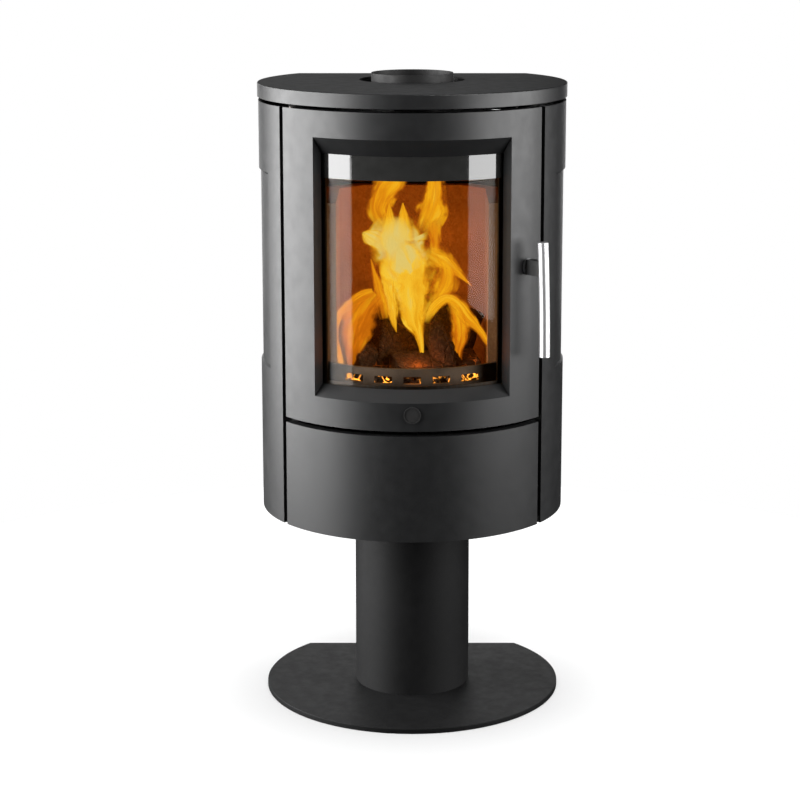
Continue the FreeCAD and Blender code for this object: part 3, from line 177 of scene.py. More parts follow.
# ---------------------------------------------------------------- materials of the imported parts

def stove_paint():
    """Satin heat-resistant paint: dark grey, with the fine orange peel of a sprayed coat."""
    paint = Shader("stove_paint")
    cloud = paint.noise(9.0, detail=3.0)
    colour = paint.ramp(cloud, (0.3, (0.0088, 0.0090, 0.0094)), (0.7, (0.0122, 0.0124, 0.0128)))
    grain = paint.noise(2600.0, detail=2.0)
    peel = paint.noise(420.0, detail=3.0)
    rough = paint.span(paint.noise(55.0, detail=5.0), 0.40, 0.48, 0.3, 0.7)
    fine = paint.bump(grain, 0.12, 0.00012)
    paint.into(Base_Color=colour, Roughness=rough, Normal=paint.bump(peel, 0.10, 0.0003, fine))
    paint.set(IOR=1.5)
    return paint.material


def shaded_stand_paint():
    """Paint on the stand: duller than the body's and with the same orange peel; its darker colour is
    painted shade, for the shade that falls on the stand under the body.
    """
    paint = Shader("shaded_stand_paint")
    cloud = paint.noise(11.0, detail=4.0)
    # Painted shade: this colour is darker than the body's paint, for the shade that falls on the stand
    # under the body.
    colour = paint.ramp(cloud, (0.3, (0.0028, 0.0028, 0.0030)), (0.7, (0.0044, 0.0044, 0.0046)))
    rough = paint.span(paint.noise(60.0, detail=5.0), 0.54, 0.64, 0.3, 0.7)
    peel = paint.bump(paint.noise(420.0, detail=3.0), 0.12, 0.0003)
    paint.into(Base_Color=colour, Roughness=rough, Normal=peel)
    paint.set(Specular_IOR_Level=0.24)
    return paint.material


def black_steel():
    """Matt black steel: thinner paint over sheet metal, slightly dusty."""
    steel = Shader("black_steel")
    dust = steel.noise(30.0, detail=6.0)
    colour = steel.ramp(dust, (0.35, (0.008, 0.008, 0.0085)), (0.75, (0.016, 0.015, 0.0145)))
    rough = steel.span(steel.noise(80.0), 0.5, 0.68, 0.3, 0.7)
    skin = steel.bump(steel.noise(1200.0), 0.15, 0.0002)
    steel.into(Base_Color=colour, Roughness=rough, Normal=skin)
    return steel.material


def cast_iron():
    """Sand-cast iron, greyed by heat, with a pitted skin and a rusty tinge in patches."""
    iron = Shader("cast_iron")
    pits = iron.noise(700.0, detail=6.0, roughness=0.65)
    stain = iron.noise(26.0, detail=5.0)
    colour = iron.ramp(
        stain,
        (0.25, (0.055, 0.052, 0.050)),
        (0.6, (0.105, 0.099, 0.094)),
        (0.85, (0.12, 0.09, 0.068)),
    )
    rough = iron.span(pits, 0.42, 0.7, 0.3, 0.7)
    iron.into(Base_Color=colour, Roughness=rough, Normal=iron.bump(pits, 0.35, 0.0006))
    iron.set(Metallic=0.35)
    return iron.material


def firebrick():
    """Pressed vermiculite board: tan flakes, sooted in clouds and along its front edges."""
    flakes_per_metre = 260.0
    soot_colour = (0.035, 0.024, 0.018, 1.0)
    front_edge, soot_end = -0.122, -0.085
    brick = Shader("firebrick")
    flakes = brick.cells(flakes_per_metre, output="Color")
    grey = brick.node("ShaderNodeRGBToBW")
    brick.link(flakes, grey.inputs["Color"])
    base = brick.ramp(
        grey.outputs["Val"],
        (0.1, (0.36, 0.21, 0.10)),
        (0.5, (0.42, 0.25, 0.125)),
        (0.9, (0.48, 0.30, 0.155)),
    )
    clouds = brick.span(brick.noise(7.0, detail=6.0, roughness=0.6), 0.0, 0.45, 0.42, 0.72)
    split = brick.node("ShaderNodeSeparateXYZ")
    brick.link(brick.where, split.inputs["Vector"])
    smoked = brick.span(split.outputs["Y"], 0.45, 0.0, front_edge, soot_end)
    soot = brick.node("ShaderNodeMath", operation="MAXIMUM")
    brick.link(clouds, soot.inputs[0])
    brick.link(smoked, soot.inputs[1])
    mix = brick.node("ShaderNodeMix", data_type="RGBA")
    clean_side, sooted_side = mix.inputs[6], mix.inputs[7]
    brick.link(soot.outputs[0], mix.inputs["Factor"])
    brick.link(base, clean_side)
    sooted_side.default_value = soot_colour
    height = brick.cells(flakes_per_metre)
    brick.into(Base_Color=mix.outputs[2], Normal=brick.bump(height, 0.5, 0.0012))
    brick.set(Roughness=0.92)
    return brick.material


def zinc_steel():
    """Zinc-plated steel: bright, with a faint crystalline mottle."""
    zinc = Shader("zinc_steel")
    spangle = zinc.cells(320.0, output="Color")
    grey = zinc.node("ShaderNodeRGBToBW")
    zinc.link(spangle, grey.inputs["Color"])
    colour = zinc.ramp(grey.outputs["Val"], (0.0, (0.26, 0.265, 0.275)), (1.0, (0.38, 0.38, 0.38)))
    rough = zinc.span(grey.outputs["Val"], 0.40, 0.55)
    zinc.into(Base_Color=colour, Roughness=rough, Normal=zinc.bump(zinc.noise(900.0), 0.06, 0.0002))
    zinc.set(Metallic=1.0)
    return zinc.material


def bronze():
    """Turned bronze: fine rings left by the tool."""
    metal = Shader("bronze")
    rings = metal.noise(900.0, vector=metal.stretched((0.05, 0.05, 1.0)))
    colour = metal.ramp(metal.noise(60.0), (0.3, (0.42, 0.25, 0.11)), (0.7, (0.56, 0.36, 0.17)))
    rough = metal.span(rings, 0.22, 0.4)
    metal.into(Base_Color=colour, Roughness=rough, Normal=metal.bump(rings, 0.15, 0.0001))
    metal.set(Metallic=1.0)
    return metal.material


def polished_steel():
    """Stainless bar, ground lengthwise to a satin finish, with hairline scratches."""
    metal = Shader("polished_steel")
    hair = metal.noise(1500.0, detail=3.0, vector=metal.stretched((1.0, 1.0, 0.03)))
    smear = metal.noise(40.0, detail=4.0)
    colour = metal.ramp(smear, (0.3, (0.78, 0.78, 0.79)), (0.7, (0.86, 0.86, 0.87)))
    rough = metal.span(hair, 0.40, 0.50, 0.3, 0.7)
    metal.into(Base_Color=colour, Roughness=rough, Normal=metal.bump(hair, 0.08, 0.00006))
    metal.set(Metallic=1.0)
    return metal.material


def ceramic_glass():
    """Glass ceramic with a faint amber tint: mostly clear, a weak mirror at a glance."""
    glass = Shader("ceramic_glass")
    glass.tree.nodes.remove(glass.surface)
    clear = glass.node("ShaderNodeBsdfTransparent")
    clear.inputs["Color"].default_value = (0.97, 0.90, 0.83, 1.0)
    mirror = glass.node("ShaderNodeBsdfAnisotropic")
    mirror.inputs["Color"].default_value = (1.0, 1.0, 1.0, 1.0)
    haze = glass.noise(14.0, detail=5.0)
    glass.link(glass.span(haze, 0.015, 0.05, 0.4, 0.75), mirror.inputs["Roughness"])
    edge = glass.node("ShaderNodeFresnel")
    edge.inputs["IOR"].default_value = 1.17
    mixed = glass.node("ShaderNodeMixShader")
    glass.link(edge.outputs["Fac"], mixed.inputs["Fac"])
    glass.link(clear.outputs["BSDF"], mixed.inputs[1])
    glass.link(mirror.outputs["BSDF"], mixed.inputs[2])
    glass.link(mixed.outputs["Shader"], glass.output.inputs["Surface"])
    return glass.material


def rope():
    """Braided glass-fibre rope: strands that cross, greyed."""
    braid = Shader("rope")
    strands = []
    for lean in (1.0, -1.0):
        wave = braid.node("ShaderNodeTexWave", wave_type="BANDS", bands_direction="DIAGONAL")
        braid.link(braid.stretched((lean, 1.0, 1.0)), wave.inputs["Vector"])
        wave.inputs["Scale"].default_value = 150.0
        strands.append(wave.outputs["Fac"])
    weave = braid.times(*strands)
    colour = braid.ramp(weave, (0.0, (0.05, 0.05, 0.048)), (0.8, (0.22, 0.22, 0.21)))
    braid.into(Base_Color=colour, Normal=braid.bump(weave, 0.6, 0.0008))
    braid.set(Roughness=0.9)
    return braid.material


def dress_nodes():
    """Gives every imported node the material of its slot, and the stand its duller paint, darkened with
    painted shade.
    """
    makers = {
        "stove_paint": stove_paint,
        "black_steel": black_steel,
        "cast_iron": cast_iron,
        "firebrick": firebrick,
        "zinc_steel": zinc_steel,
        "bronze": bronze,
        "polished_steel": polished_steel,
        "ceramic_glass": ceramic_glass,
        "rope": rope,
    }
    made = {name: maker() for name, maker in makers.items()}
    for part in frame["record"]["subparts"]:
        node = NODES[part["node"]]
        node.data.materials.clear()
        node.data.materials.append(made[part["material_slot"]])
    # The stand's paint carries painted shade: a darker copy of the body's paint.
    shaded_stand_material = shaded_stand_paint()
    for name in ("base_plate", "pedestal_tube"):
        NODES[name].data.materials[0] = shaded_stand_material


# ---------------------------------------------------------------- firewood, embers and flames

def new_piece(name, mesh_maker, material, body, smooth=True):
    """A piece built with bmesh that rides on a body."""
    mesh = bpy.data.meshes.new(name)
    shape = bmesh.new()
    mesh_maker(shape)
    bmesh.ops.recalc_face_normals(shape, faces=shape.faces)
    shape.to_mesh(mesh)
    shape.free()
    mesh.materials.append(material)
    piece = bpy.data.objects.new(name, mesh)
    bpy.context.scene.collection.objects.link(piece)
    for face in mesh.polygons:
        face.use_smooth = smooth
    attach(piece, body)
    return piece


def charred_bark():
    """Bark that is burning: black and brown scales, with embers deep in some of the cracks."""
    bark = Shader("charred_bark")
    scales = bark.cells(75.0, feature="DISTANCE_TO_EDGE")
    fibre = bark.noise(160.0, detail=6.0, roughness=0.6)
    colour = bark.ramp(
        fibre,
        (0.3, (0.03, 0.018, 0.010)),
        (0.55, (0.09, 0.052, 0.028)),
        (0.8, (0.17, 0.11, 0.065)),
    )
    height = bark.times(bark.span(scales, 0.0, 1.0, 0.0, 0.12), fibre)
    bark.into(Base_Color=colour, Normal=bark.bump(height, 0.8, 0.004))
    cracks = bark.span(scales, 1.0, 0.0, 0.0, 0.035)
    hot_spots = bark.span(bark.noise(14.0), 0.0, 1.0, 0.52, 0.66)
    bark.into(Emission_Strength=bark.times(bark.times(cracks, hot_spots), 0.7))
    bark.set(Roughness=0.9, Emission_Color=(1.0, 0.22, 0.03, 1.0))
    return bark.material


def log_shape(start, end, radius, seed, flat_side=None):
    """A log between two points: knobbly bark, chamfered ends and, if asked, one split face."""
    around, along = 56, 44
    end_size, taper_rate = 0.86, 6.0
    lumps_per_metre, lump_height = 45.0, 0.07
    ridges_around, ridges_along, ridge_height = 4.0, 2.5, 0.10
    split_depth, split_reach = 0.42, 0.35
    dents_per_metre, dent_depth = 90.0, 0.05
    axis = (end - start).normalized()
    side = axis.orthogonal().normalized()
    other = axis.cross(side)

    def build(shape):
        rings = []
        for step in range(along + 1):
            share = step / along
            centre = start.lerp(end, share)
            end_taper = min(1.0, end_size + min(share, 1 - share) * taper_rate)
            ring = []
            for turn in range(around):
                angle = math.tau * turn / around
                out = side * math.cos(angle) + other * math.sin(angle)
                place = centre + out * radius
                rough = noise.fractal((place + Vector((seed, 0, 0))) * lumps_per_metre, 1.0, 2.0, 5)
                ridge = noise.noise(Vector((angle * ridges_around, share * ridges_along, seed)))
                reach = radius * end_taper * (1.0 + lump_height * rough + ridge_height * ridge)
                if flat_side is not None:
                    facing = math.cos(angle - flat_side)
                    if facing > split_reach:
                        reach = min(reach, radius * split_depth / facing)
                ring.append(shape.verts.new(centre + out * reach))
            rings.append(ring)
        for here, there in zip(rings, rings[1:]):
            for turn in range(around):
                following = (turn + 1) % around
                shape.faces.new((here[turn], here[following], there[following], there[turn]))
        for ring, point in ((rings[0], start), (rings[-1], end)):
            inner = ring
            for share in (0.66, 0.33):
                loop = []
                for vertex in ring:
                    dent = noise.noise(vertex.co * dents_per_metre) * radius * dent_depth
                    loop.append(shape.verts.new(point.lerp(vertex.co, share) + axis * dent))
                for turn in range(around):
                    following = (turn + 1) % around
                    shape.faces.new((inner[turn], inner[following], loop[following], loop[turn]))
                inner = loop
            hub = shape.verts.new(point)
            for turn in range(around):
                shape.faces.new((inner[turn], inner[(turn + 1) % around], hub))
    return build


FIREWOOD = (
    # start, end and radius in metres, seed, and the side of the split face in radians
    ((-0.098, -0.075, 0.575), (0.045, -0.020, 0.585), 0.030, 3.0, None),
    ((-0.030, -0.110, 0.580), (0.105, -0.060, 0.578), 0.027, 8.0, 1.2),
    ((-0.040, -0.070, 0.560), (-0.018, -0.020, 0.668), 0.036, 15.0, 4.4),
    ((0.062, -0.085, 0.565), (0.028, -0.030, 0.680), 0.026, 21.0, None),
    ((0.070, -0.020, 0.570), (0.098, 0.010, 0.650), 0.024, 27.0, 2.0),
    ((-0.085, -0.010, 0.565), (-0.060, 0.015, 0.640), 0.023, 33.0, 3.1),
)


def make_firewood():
    bark = charred_bark()
    for number, (start, end, radius, seed, split) in enumerate(FIREWOOD, start=1):
        build = log_shape(Vector(start), Vector(end), radius, seed, split)
        new_piece(f"firewood_{number}", build, bark, "root")


def ember_material():
    """Charcoal and ash with a hot glow in the hollows."""
    coal = Shader("embers")
    lumps = coal.cells(60.0, feature="DISTANCE_TO_EDGE")
    grain = coal.noise(220.0, detail=6.0)
    colour = coal.ramp(
        grain,
        (0.3, (0.010, 0.009, 0.009)),
        (0.6, (0.06, 0.055, 0.052)),
        (0.85, (0.22, 0.20, 0.19)),
    )
    hollows = coal.span(lumps, 1.0, 0.0, 0.0, 0.09)
    hot_spots = coal.span(coal.noise(24.0), 0.0, 1.0, 0.42, 0.62)
    glow = coal.times(coal.times(hollows, hot_spots), 4.5)
    coal.into(Base_Color=colour, Normal=coal.bump(grain, 0.7, 0.002), Emission_Strength=glow)
    coal.set(Roughness=0.95, Emission_Color=(1.0, 0.40, 0.05, 1.0))
    return coal.material


def ember_bed(shape):
    """A mound of embers on the hearth between the bricks and the log retainer."""
    across, deep = 90, 60
    side_gap, under_gap, rim_gap = 3 * MM, 0.2 * MM, 0.5 * MM
    mound_height, lump_height, lumps_per_metre = 0.016, 0.010, 55.0
    side_slope, end_slope = 8, 6
    left, right = -BRICK_INSIDE + side_gap, BRICK_INSIDE - side_gap
    front, back = -0.135, 0.03
    grid = []
    for row in range(deep + 1):
        line = []
        for column in range(across + 1):
            x = left + (right - left) * column / across
            y = front + (back - front) * row / deep
            side_rise = min(column, across - column) / across * side_slope
            end_rise = min(row, deep - row) / deep * end_slope
            rim = min(1.0, side_rise, end_rise)
            lump = noise.fractal(Vector((x, y, 0.3)) * lumps_per_metre, 1.0, 2.0, 4)
            z = HEARTH_TOP + rim_gap + rim * (mound_height + lump_height * lump)
            line.append(shape.verts.new((x, y, z)))
        grid.append(line)
    for near, far in zip(grid, grid[1:]):
        for column in range(across):
            shape.faces.new((near[column], near[column + 1], far[column + 1], far[column]))
    sides = [grid[0], [line[-1] for line in grid], grid[-1][::-1], [line[0] for line in grid][::-1]]
    outline = [vertex for side in sides for vertex in side[:-1]]
    bottom = HEARTH_TOP + under_gap
    under = [shape.verts.new((vertex.co.x, vertex.co.y, bottom)) for vertex in outline]
    count = len(outline)
    for step in range(count):
        following = (step + 1) % count
        shape.faces.new((outline[step], outline[following], under[following], under[step]))
    shape.faces.new(under[::-1])


def charcoal(shape):
    """Loose lumps of charcoal on the mound, all of one piece."""
    lump_count, side_gap, mound_top = 70, 0.015, 0.014
    dents_per_metre, dent_depth = 260.0, 0.22
    draw = random.Random(11)
    for _ in range(lump_count):
        size = draw.uniform(0.005, 0.012)
        x = draw.uniform(-BRICK_INSIDE + side_gap, BRICK_INSIDE - side_gap)
        y = draw.uniform(-0.125, 0.02)
        place = Matrix.Translation((x, y, HEARTH_TOP + mound_top + size * 0.4))
        turn = draw.uniform(0, math.tau)
        lean = Vector((draw.random(), draw.random(), 1)).normalized()
        spin = Matrix.Rotation(turn, 4, lean)
        squash = Matrix.Diagonal((size, size * draw.uniform(0.6, 1.0), size * draw.uniform(0.5, 0.8), 1))
        whole = place @ spin @ squash
        made = bmesh.ops.create_icosphere(shape, subdivisions=3, radius=1.0, matrix=whole)
        for vertex in made["verts"]:
            dent = noise.fractal(vertex.co * dents_per_metre, 1.0, 2.0, 3) * dent_depth
            vertex.co += (vertex.co - place.translation) * dent


def make_embers():
    coal = ember_material()
    new_piece("ember_bed", ember_bed, coal, "root")
    new_piece("charcoal_lumps", charcoal, coal, "root")


# From the thin outer flame to the hottest part.
FLAME_COLOURS = (
    (0.0, (0.36, 0.075, 0.002)),
    (0.30, (0.72, 0.22, 0.006)),
    (0.58, (0.95, 0.50, 0.012)),
    (0.80, (0.98, 0.68, 0.05)),
    (1.0, (0.80, 0.70, 0.22)),
)


def flame_material():
    """Flame: streaks that follow the flow, from orange where it is thin to pale yellow where it is hot."""
    fire = Shader("flame")
    fire.tree.nodes.remove(fire.surface)
    flow = fire.node("ShaderNodeAttribute", attribute_name="flow").outputs["Vector"]
    heat = fire.node("ShaderNodeAttribute", attribute_name="warmth").outputs["Fac"]
    thick = fire.node("ShaderNodeAttribute", attribute_name="thick").outputs["Fac"]
    split = fire.node("ShaderNodeSeparateXYZ")
    fire.link(flow, split.inputs["Vector"])
    sway = fire.span(fire.noise(1.3, detail=3.0, vector=flow), -0.45, 0.45, 0.2, 0.8)
    across = fire.node("ShaderNodeMath", operation="ADD")
    fire.link(split.outputs["X"], across.inputs[0])
    fire.link(sway, across.inputs[1])
    away = fire.node("ShaderNodeMath", operation="ABSOLUTE")
    fire.link(across.outputs[0], away.inputs[0])
    edge = fire.span(away.outputs[0], 1.0, 0.0, 0.62, 0.98)
    squeeze = fire.node("ShaderNodeMapping")
    fire.link(flow, squeeze.inputs["Vector"])
    squeeze.inputs["Scale"].default_value = (0.9, 0.5, 1.0)
    streak = fire.noise(1.25, detail=3.0, vector=squeeze.outputs["Vector"], distortion=0.5)
    density = fire.times(fire.times(edge, fire.span(streak, 0.36, 1.0, 0.33, 0.53)), thick)
    glow = fire.node("ShaderNodeMath", operation="MULTIPLY_ADD")
    fire.link(fire.span(streak, -0.26, 0.16, 0.3, 0.7), glow.inputs[0])
    glow.inputs[1].default_value = 1.0
    fire.link(fire.times(heat, fire.span(edge, 0.30, 0.86)), glow.inputs[2])
    colour = fire.ramp(glow.outputs[0], *FLAME_COLOURS)
    light = fire.node("ShaderNodeEmission")
    fire.link(colour, light.inputs["Color"])
    light.inputs["Strength"].default_value = 1.0
    clear = fire.node("ShaderNodeBsdfTransparent")
    mixed = fire.node("ShaderNodeMixShader")
    fire.link(density, mixed.inputs["Fac"])
    fire.link(clear.outputs["BSDF"], mixed.inputs[1])
    fire.link(light.outputs["Emission"], mixed.inputs[2])
    fire.link(mixed.outputs["Shader"], fire.output.inputs["Surface"])
    return fire.material


def spline_point(points, share):
    """A point on a smooth curve through the given points."""
    spans = len(points) - 1
    place = min(share * spans, spans - 1e-6)
    index = int(place)
    local = place - index
    before = points[max(index - 1, 0)]
    here, there = points[index], points[index + 1]
    after = points[min(index + 2, spans)]
    a = here * 2
    b = there - before
    c = before * 2 - here * 5 + there * 4 - after
    d = here * 3 - before - there * 3 + after
    return (a + b * local + c * local ** 2 + d * local ** 3) / 2


# Each tongue: how far it stands in front of the axis, then its middle line from root to tip: x, height
# above the hearth and half width, in millimetres, then heat, from 0.3 for orange to over 1 for the
# palest yellow, and thickness, from 0 to 1.
FLAMES = (
    # upper left and upper right
    (50, ((-40, 255, 14, 0.75, 0.0), (-54, 285, 20, 0.60, 0.8), (-48, 311, 22, 0.58, 0.9),
          (-32, 335, 25, 0.66, 0.9), (-27, 350, 24, 0.62, 0.6))),
    (45, ((15, 245, 16, 0.80, 0.0), (31, 280, 25, 0.66, 0.85), (35, 307, 20, 0.62, 0.9),
          (36, 328, 17, 0.64, 0.9), (36, 350, 16, 0.60, 0.6))),
    (55, ((36, 200, 8, 0.60, 0.0), (38, 225, 9, 0.58, 0.8), (36, 250, 12, 0.60, 0.8),
          (34, 270, 14, 0.60, 0.0))),
    # two short spikes on the head
    (60, ((-38, 255, 14, 0.85, 0.0), (-38, 272, 10, 0.75, 0.8), (-38, 300, 1, 0.55, 0.6))),
    (60, ((-14, 255, 15, 0.85, 0.0), (-14, 272, 11, 0.75, 0.8), (-15, 298, 1, 0.55, 0.6))),
    # the trunk and the tongue along its left side
    (80, ((17, 18, 2, 0.72, 0.6), (16, 50, 4, 0.78, 0.9), (11, 85, 10, 0.82, 1.0),
          (2, 112, 27, 0.88, 1.0), (2, 140, 36, 0.92, 1.0), (0, 172, 42, 0.94, 1.0),
          (-6, 204, 44, 0.96, 0.9), (-8, 232, 36, 1.00, 0.0))),
    (75, ((-26, 86, 1, 0.75, 0.4), (-31, 110, 7, 0.80, 0.9), (-36, 145, 12, 0.86, 0.95),
          (-40, 180, 13, 0.90, 0.9), (-42, 210, 12, 0.95, 0.3))),
    # the pale head and its left corner
    (86, ((4, 192, 30, 1.10, 0.6), (-10, 210, 42, 1.22, 0.95), (-26, 236, 50, 1.25, 0.95),
          (-26, 256, 42, 1.15, 0.9), (-26, 280, 26, 0.90, 0.0))),
    (82, ((-40, 228, 12, 1.15, 0.0), (-60, 240, 17, 1.15, 0.9), (-74, 248, 11, 1.05, 0.8),
          (-81, 252, 3, 0.95, 0.2))),
    # the right shoulder: a long point and the lobe under it
    (70, ((24, 220, 14, 0.88, 0.0), (46, 208, 17, 0.76, 0.9), (62, 196, 12, 0.70, 0.9),
          (80, 179, 6, 0.62, 0.85), (98, 162, 1, 0.50, 0.4))),
    (75, ((34, 128, 12, 0.80, 0.0), (48, 150, 18, 0.70, 0.85), (57, 172, 20, 0.60, 0.85),
          (56, 194, 16, 0.62, 0.6), (48, 212, 9, 0.60, 0.0))),
    # the arch over the right log and the leg below it
    (90, ((22, 104, 7, 0.85, 0.0), (36, 130, 10, 0.80, 0.9), (56, 145, 9, 0.75, 0.95),
          (76, 134, 12, 0.66, 0.95), (92, 112, 11, 0.60, 0.9), (110, 92, 7, 0.60, 0.9),
          (128, 66, 5, 0.62, 0.9), (148, 36, 2, 0.60, 0.5))),
    (85, ((80, 22, 2, 0.32, 0.5), (75, 52, 8, 0.34, 0.8), (80, 82, 15, 0.42, 0.85),
          (76, 114, 15, 0.52, 0.85), (62, 136, 8, 0.65, 0.0))),
    # the left wing: its bright outline, its body and a spike at its inner end
    (100, ((-112, 24, 4, 0.55, 0.6), (-120, 56, 6, 0.50, 0.95), (-126, 92, 6, 0.48, 0.95),
           (-119, 120, 8, 0.48, 0.95), (-101, 138, 10, 0.48, 0.95), (-82, 152, 11, 0.50, 0.95),
           (-64, 158, 8, 0.55, 0.6))),
    (95, ((-102, 34, 6, 0.26, 0.3), (-97, 66, 19, 0.28, 0.75), (-90, 102, 29, 0.32, 0.85),
          (-76, 130, 27, 0.38, 0.85), (-56, 150, 16, 0.48, 0.5))),
    (90, ((-44, 112, 9, 0.50, 0.2), (-50, 142, 12, 0.52, 0.85), (-58, 176, 7, 0.48, 0.85),
          (-67, 210, 1, 0.42, 0.4))),
    # small licks in the lower corners
    (110, ((-124, 22, 7, 0.60, 0.5), (-138, 32, 7, 0.60, 0.9), (-148, 48, 1, 0.50, 0.5))),
    (60, ((134, 92, 3, 0.30, 0.0), (135, 106, 5, 0.30, 0.6), (133, 118, 1, 0.30, 0.2))),
)

# Every tongue is three sheets, turned about its middle line by these angles in radians. They are wider
# than the tongue, because the material fades their edges out.
FLAME_TWISTS = (0.0, 0.9, -0.9)
FLAME_SPREAD = 1.12
FLAME_COLUMNS = 14
FLAME_ROWS = 56
FLAME_LEAST_WIDTH = 0.6 * MM
FLOW_PER_METRE = 22.0
BILLOWS_PER_METRE = 18.0
BILLOW_DEPTH = 0.45


def flame_rows(depth, points):
    """The tongue's middle line, smoothed: place, half width, heat, thickness and length so far."""
    path = [Vector((x * MM, -depth * MM, HEARTH_TOP + height * MM)) for x, height, _, _, _ in points]
    sizes = [Vector((width * MM, heat, thick)) for _, _, width, heat, thick in points]
    length = 0.0
    before = None
    made = []
    for row in range(FLAME_ROWS + 1):
        share = row / FLAME_ROWS
        place = spline_point(path, share)
        if before is not None:
            length += (place - before).length
        before = place
        width, heat, thick = spline_point(sizes, share)
        width = max(width * FLAME_SPREAD, FLAME_LEAST_WIDTH)
        made.append((place, width, heat, max(thick, 0.0), length))
    return made


def flame_sheet(shape, layers, line, twist, number, sheet):
    """One thin billowing sheet along a tongue's middle line, turned about it by twist."""
    flow, heated, thickness = layers
    grid = []
    for row, (place, width, heat, thick, length) in enumerate(line):
        ahead = line[min(row + 1, FLAME_ROWS)][0] - line[max(row - 1, 0)][0]
        side = Vector((ahead.z, 0, -ahead.x)).normalized()
        side.rotate(Matrix.Rotation(twist, 3, ahead.normalized()))
        cells = []
        for column in range(FLAME_COLUMNS + 1):
            u = 2 * column / FLAME_COLUMNS - 1
            wave = noise.noise(Vector((u, length * BILLOWS_PER_METRE, number * 3.0 + sheet)))
            billow = Vector((0, wave * width * BILLOW_DEPTH, 0))
            vertex = shape.verts.new(place + side * (width * u) + billow)
            vertex[flow] = (u, length * FLOW_PER_METRE, number * 7.3 + sheet * 2.1)
            vertex[heated] = heat
            vertex[thickness] = thick
            cells.append(vertex)
        grid.append(cells)
    for here, there in zip(grid, grid[1:]):
        for column in range(FLAME_COLUMNS):
            shape.faces.new((here[column], here[column + 1], there[column + 1], there[column]))


def flames(shape):
    """All the tongues of flame, each of three thin curved sheets that cross along its middle line."""
    layers = (
        shape.verts.layers.float_vector.new("flow"),
        shape.verts.layers.float.new("warmth"),
        shape.verts.layers.float.new("thick"),
    )
    for number, (depth, points) in enumerate(FLAMES):
        line = flame_rows(depth, points)
        for sheet, twist in enumerate(FLAME_TWISTS):
            flame_sheet(shape, layers, line, twist, number, sheet)


def make_flames():
    new_piece("flames", flames, flame_material(), "root")


FIRELIGHT_COLOUR = (1.0, 0.27, 0.035)
FIRELIGHTS = (
    # place, watts, radius
    ((0.0, -0.045, 0.70), 0.34, 0.06),
    ((0.0, -0.03, 0.80), 0.17, 0.05),
    ((0.01, -0.12, 0.585), 0.12, 0.02),
)


def make_firelight():
    """The light that the fire throws on the bricks."""
    for place, watts, radius in FIRELIGHTS:
        lamp = bpy.data.lights.new("firelight", "POINT")
        lamp.energy = watts
        lamp.color = FIRELIGHT_COLOUR
        lamp.shadow_soft_size = radius
        holder = bpy.data.objects.new("firelight", lamp)
        holder.location = place
        bpy.context.scene.collection.objects.link(holder)


# ---------------------------------------------------------------- glass print

def print_material():
    """The fired-on black band along the top of the glass: opaque and as glossy as the glass."""
    band = Shader("glass_print")
    speck = band.noise(60.0, detail=5.0)
    colour = band.ramp(speck, (0.3, (0.020, 0.020, 0.019)), (0.7, (0.028, 0.028, 0.027)))
    band.into(Base_Color=colour, Roughness=band.span(speck, 0.03, 0.07, 0.3, 0.7))
    band.set(IOR=1.78)
    return band.material


PRINT_LOW = 0.898
PRINT_HIGH = 0.944
PRINT_HALF_ANGLE = 39.8
PRINT_STEPS = 96
PRINT_GAP = 0.05 * MM
PRINT_THICKNESS = 0.3 * MM


def print_band(shape):
    """A thin curved strip on the outside of the glass."""
    near = GLASS_OUTSIDE + PRINT_GAP
    far = near + PRINT_THICKNESS
    corners = [(near, PRINT_LOW), (far, PRINT_LOW), (far, PRINT_HIGH), (near, PRINT_HIGH)]
    rows = []
    for step in range(PRINT_STEPS + 1):
        angle = math.radians(-PRINT_HALF_ANGLE + 2 * PRINT_HALF_ANGLE * step / PRINT_STEPS)
        out = Vector((math.sin(angle), -math.cos(angle), 0))
        places = [out * radius + Vector((0, 0, height)) for radius, height in corners]
        rows.append([shape.verts.new(place) for place in places])
    for here, there in zip(rows, rows[1:]):
        for corner in range(4):
            following = (corner + 1) % 4
            shape.faces.new((here[corner], there[corner], there[following], here[following]))
    shape.faces.new(rows[0])
    shape.faces.new(rows[-1][::-1])


def make_glass_print():
    new_piece("glass_print", print_band, print_material(), "door", smooth=False)


# ---------------------------------------------------------------- studio

FLOOR_RADIUS = 1.3
FLOOR_GAP = 0.4 * MM
STUDIO_AMBIENT = 0.008
SOFTBOXES = (
    # name, azimuth in degrees, then distance, height, width and tallness in metres, and strength
    ("left_softbox", -84, 2.4, 1.25, 3.4, 2.7, 9.8),
    ("right_softbox", 72, 2.6, 1.4, 2.7, 2.4, 6.6),
    ("top_light", 0, 0.3, 2.6, 1.2, 1.2, 1.2),
    ("back_softbox", -158, 3.0, 1.9, 3.4, 1.5, 0.22),
    ("rear_fill", 180, 3.0, 0.55, 3.0, 1.0, 2.0),
)
FLOOR_LIGHT = ("floor_light", 0, 0.0, 3.5, 6.0, 6.0, 3.2)
# The lights that face down, with the lean of each in radians.
FACING_DOWN = {"top_light": 0.1, "floor_light": 0.0}


def make_floor():
    """A plain pale disc under the stove, which sends no light back onto it."""
    mesh = bpy.data.meshes.new("floor")
    shape = bmesh.new()
    bmesh.ops.create_circle(shape, cap_ends=True, segments=128, radius=FLOOR_RADIUS)
    shape.to_mesh(mesh)
    shape.free()
    floor = bpy.data.objects.new("floor", mesh)
    floor.location.z = -FLOOR_GAP
    bpy.context.scene.collection.objects.link(floor)
    pale = Shader("pale_floor")
    pale.set(Base_Color=(0.92, 0.92, 0.92, 1.0), Roughness=1.0, Specular_IOR_Level=0.0)
    mesh.materials.append(pale.material)
    floor.visible_glossy = False
    floor.visible_diffuse = False
    return floor


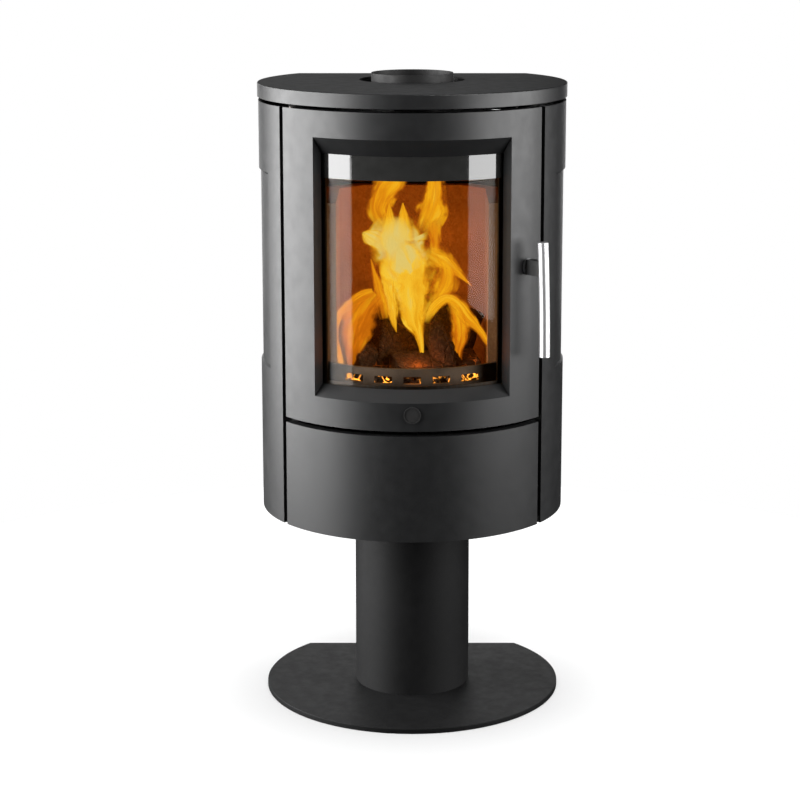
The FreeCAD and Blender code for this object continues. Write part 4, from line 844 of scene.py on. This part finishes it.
def make_softbox(name, azimuth, distance, height, width, tall, strength, lit):
    """A panel of light that lights one collection. azimuth is from the front towards +X.

    It faces the stove's axis, or down where FACING_DOWN names it, with the lean given there.
    """
    lamp = bpy.data.lights.new(name, "AREA")
    lamp.shape = "RECTANGLE"
    lamp.size = width
    lamp.size_y = tall
    lamp.energy = strength * width * tall * math.pi
    holder = bpy.data.objects.new(name, lamp)
    angle = math.radians(azimuth)
    holder.location = (distance * math.sin(angle), -distance * math.cos(angle), height)
    if name in FACING_DOWN:
        holder.rotation_euler = (FACING_DOWN[name], 0, 0)
    else:
        aim = Vector((0, 0, height)) - holder.location
        holder.rotation_euler = aim.to_track_quat("-Z", "Y").to_euler()
    holder.visible_camera = False
    bpy.context.scene.collection.objects.link(holder)
    holder.light_linking.receiver_collection = lit


def make_world():
    """White behind the stove, and nearly dark where the stove mirrors it."""
    world = bpy.data.worlds.new("studio")
    world.use_nodes = True
    tree = world.node_tree
    tree.nodes.clear()
    output = tree.nodes.new("ShaderNodeOutputWorld")
    seen = tree.nodes.new("ShaderNodeBackground")
    seen.inputs["Color"].default_value = (1.0, 1.0, 1.0, 1.0)
    felt = tree.nodes.new("ShaderNodeBackground")
    ambient = (STUDIO_AMBIENT, STUDIO_AMBIENT, STUDIO_AMBIENT * 1.05, 1.0)
    felt.inputs["Color"].default_value = ambient
    path = tree.nodes.new("ShaderNodeLightPath")
    mixed = tree.nodes.new("ShaderNodeMixShader")
    tree.links.new(path.outputs["Is Camera Ray"], mixed.inputs["Fac"])
    tree.links.new(felt.outputs["Background"], mixed.inputs[1])
    tree.links.new(seen.outputs["Background"], mixed.inputs[2])
    tree.links.new(mixed.outputs["Shader"], output.inputs["Surface"])
    bpy.context.scene.world = world


def make_lights(floor):
    """Softboxes round the stove, the left one the strongest, and a separate light for the floor."""
    stove = bpy.data.collections.new("lit_by_softboxes")
    for item in bpy.context.scene.objects:
        if item.type == "MESH" and item != floor:
            stove.objects.link(item)
    ground = bpy.data.collections.new("lit_by_floor_light")
    ground.objects.link(floor)
    for softbox in SOFTBOXES:
        make_softbox(*softbox, stove)
    make_softbox(*FLOOR_LIGHT, ground)


def make_camera():
    """The viewpoint: a little above the stove, looking down at it from the front."""
    lens = bpy.data.cameras.new("camera")
    lens.lens = CAMERA_LENS
    lens.sensor_width = CAMERA_SENSOR
    lens.shift_x, lens.shift_y = CAMERA_SHIFT
    camera = bpy.data.objects.new("camera", lens)
    camera.location = (0.0, -CAMERA_DISTANCE, CAMERA_HEIGHT)
    camera.rotation_euler = (math.radians(90 - CAMERA_TILT), 0.0, 0.0)
    bpy.context.scene.collection.objects.link(camera)
    bpy.context.scene.camera = camera


bpy.context.scene.view_settings.view_transform = "Standard"
make_camera()
dress_nodes()
make_firewood()
make_embers()
make_flames()
make_firelight()
make_glass_print()
make_world()
make_lights(make_floor())
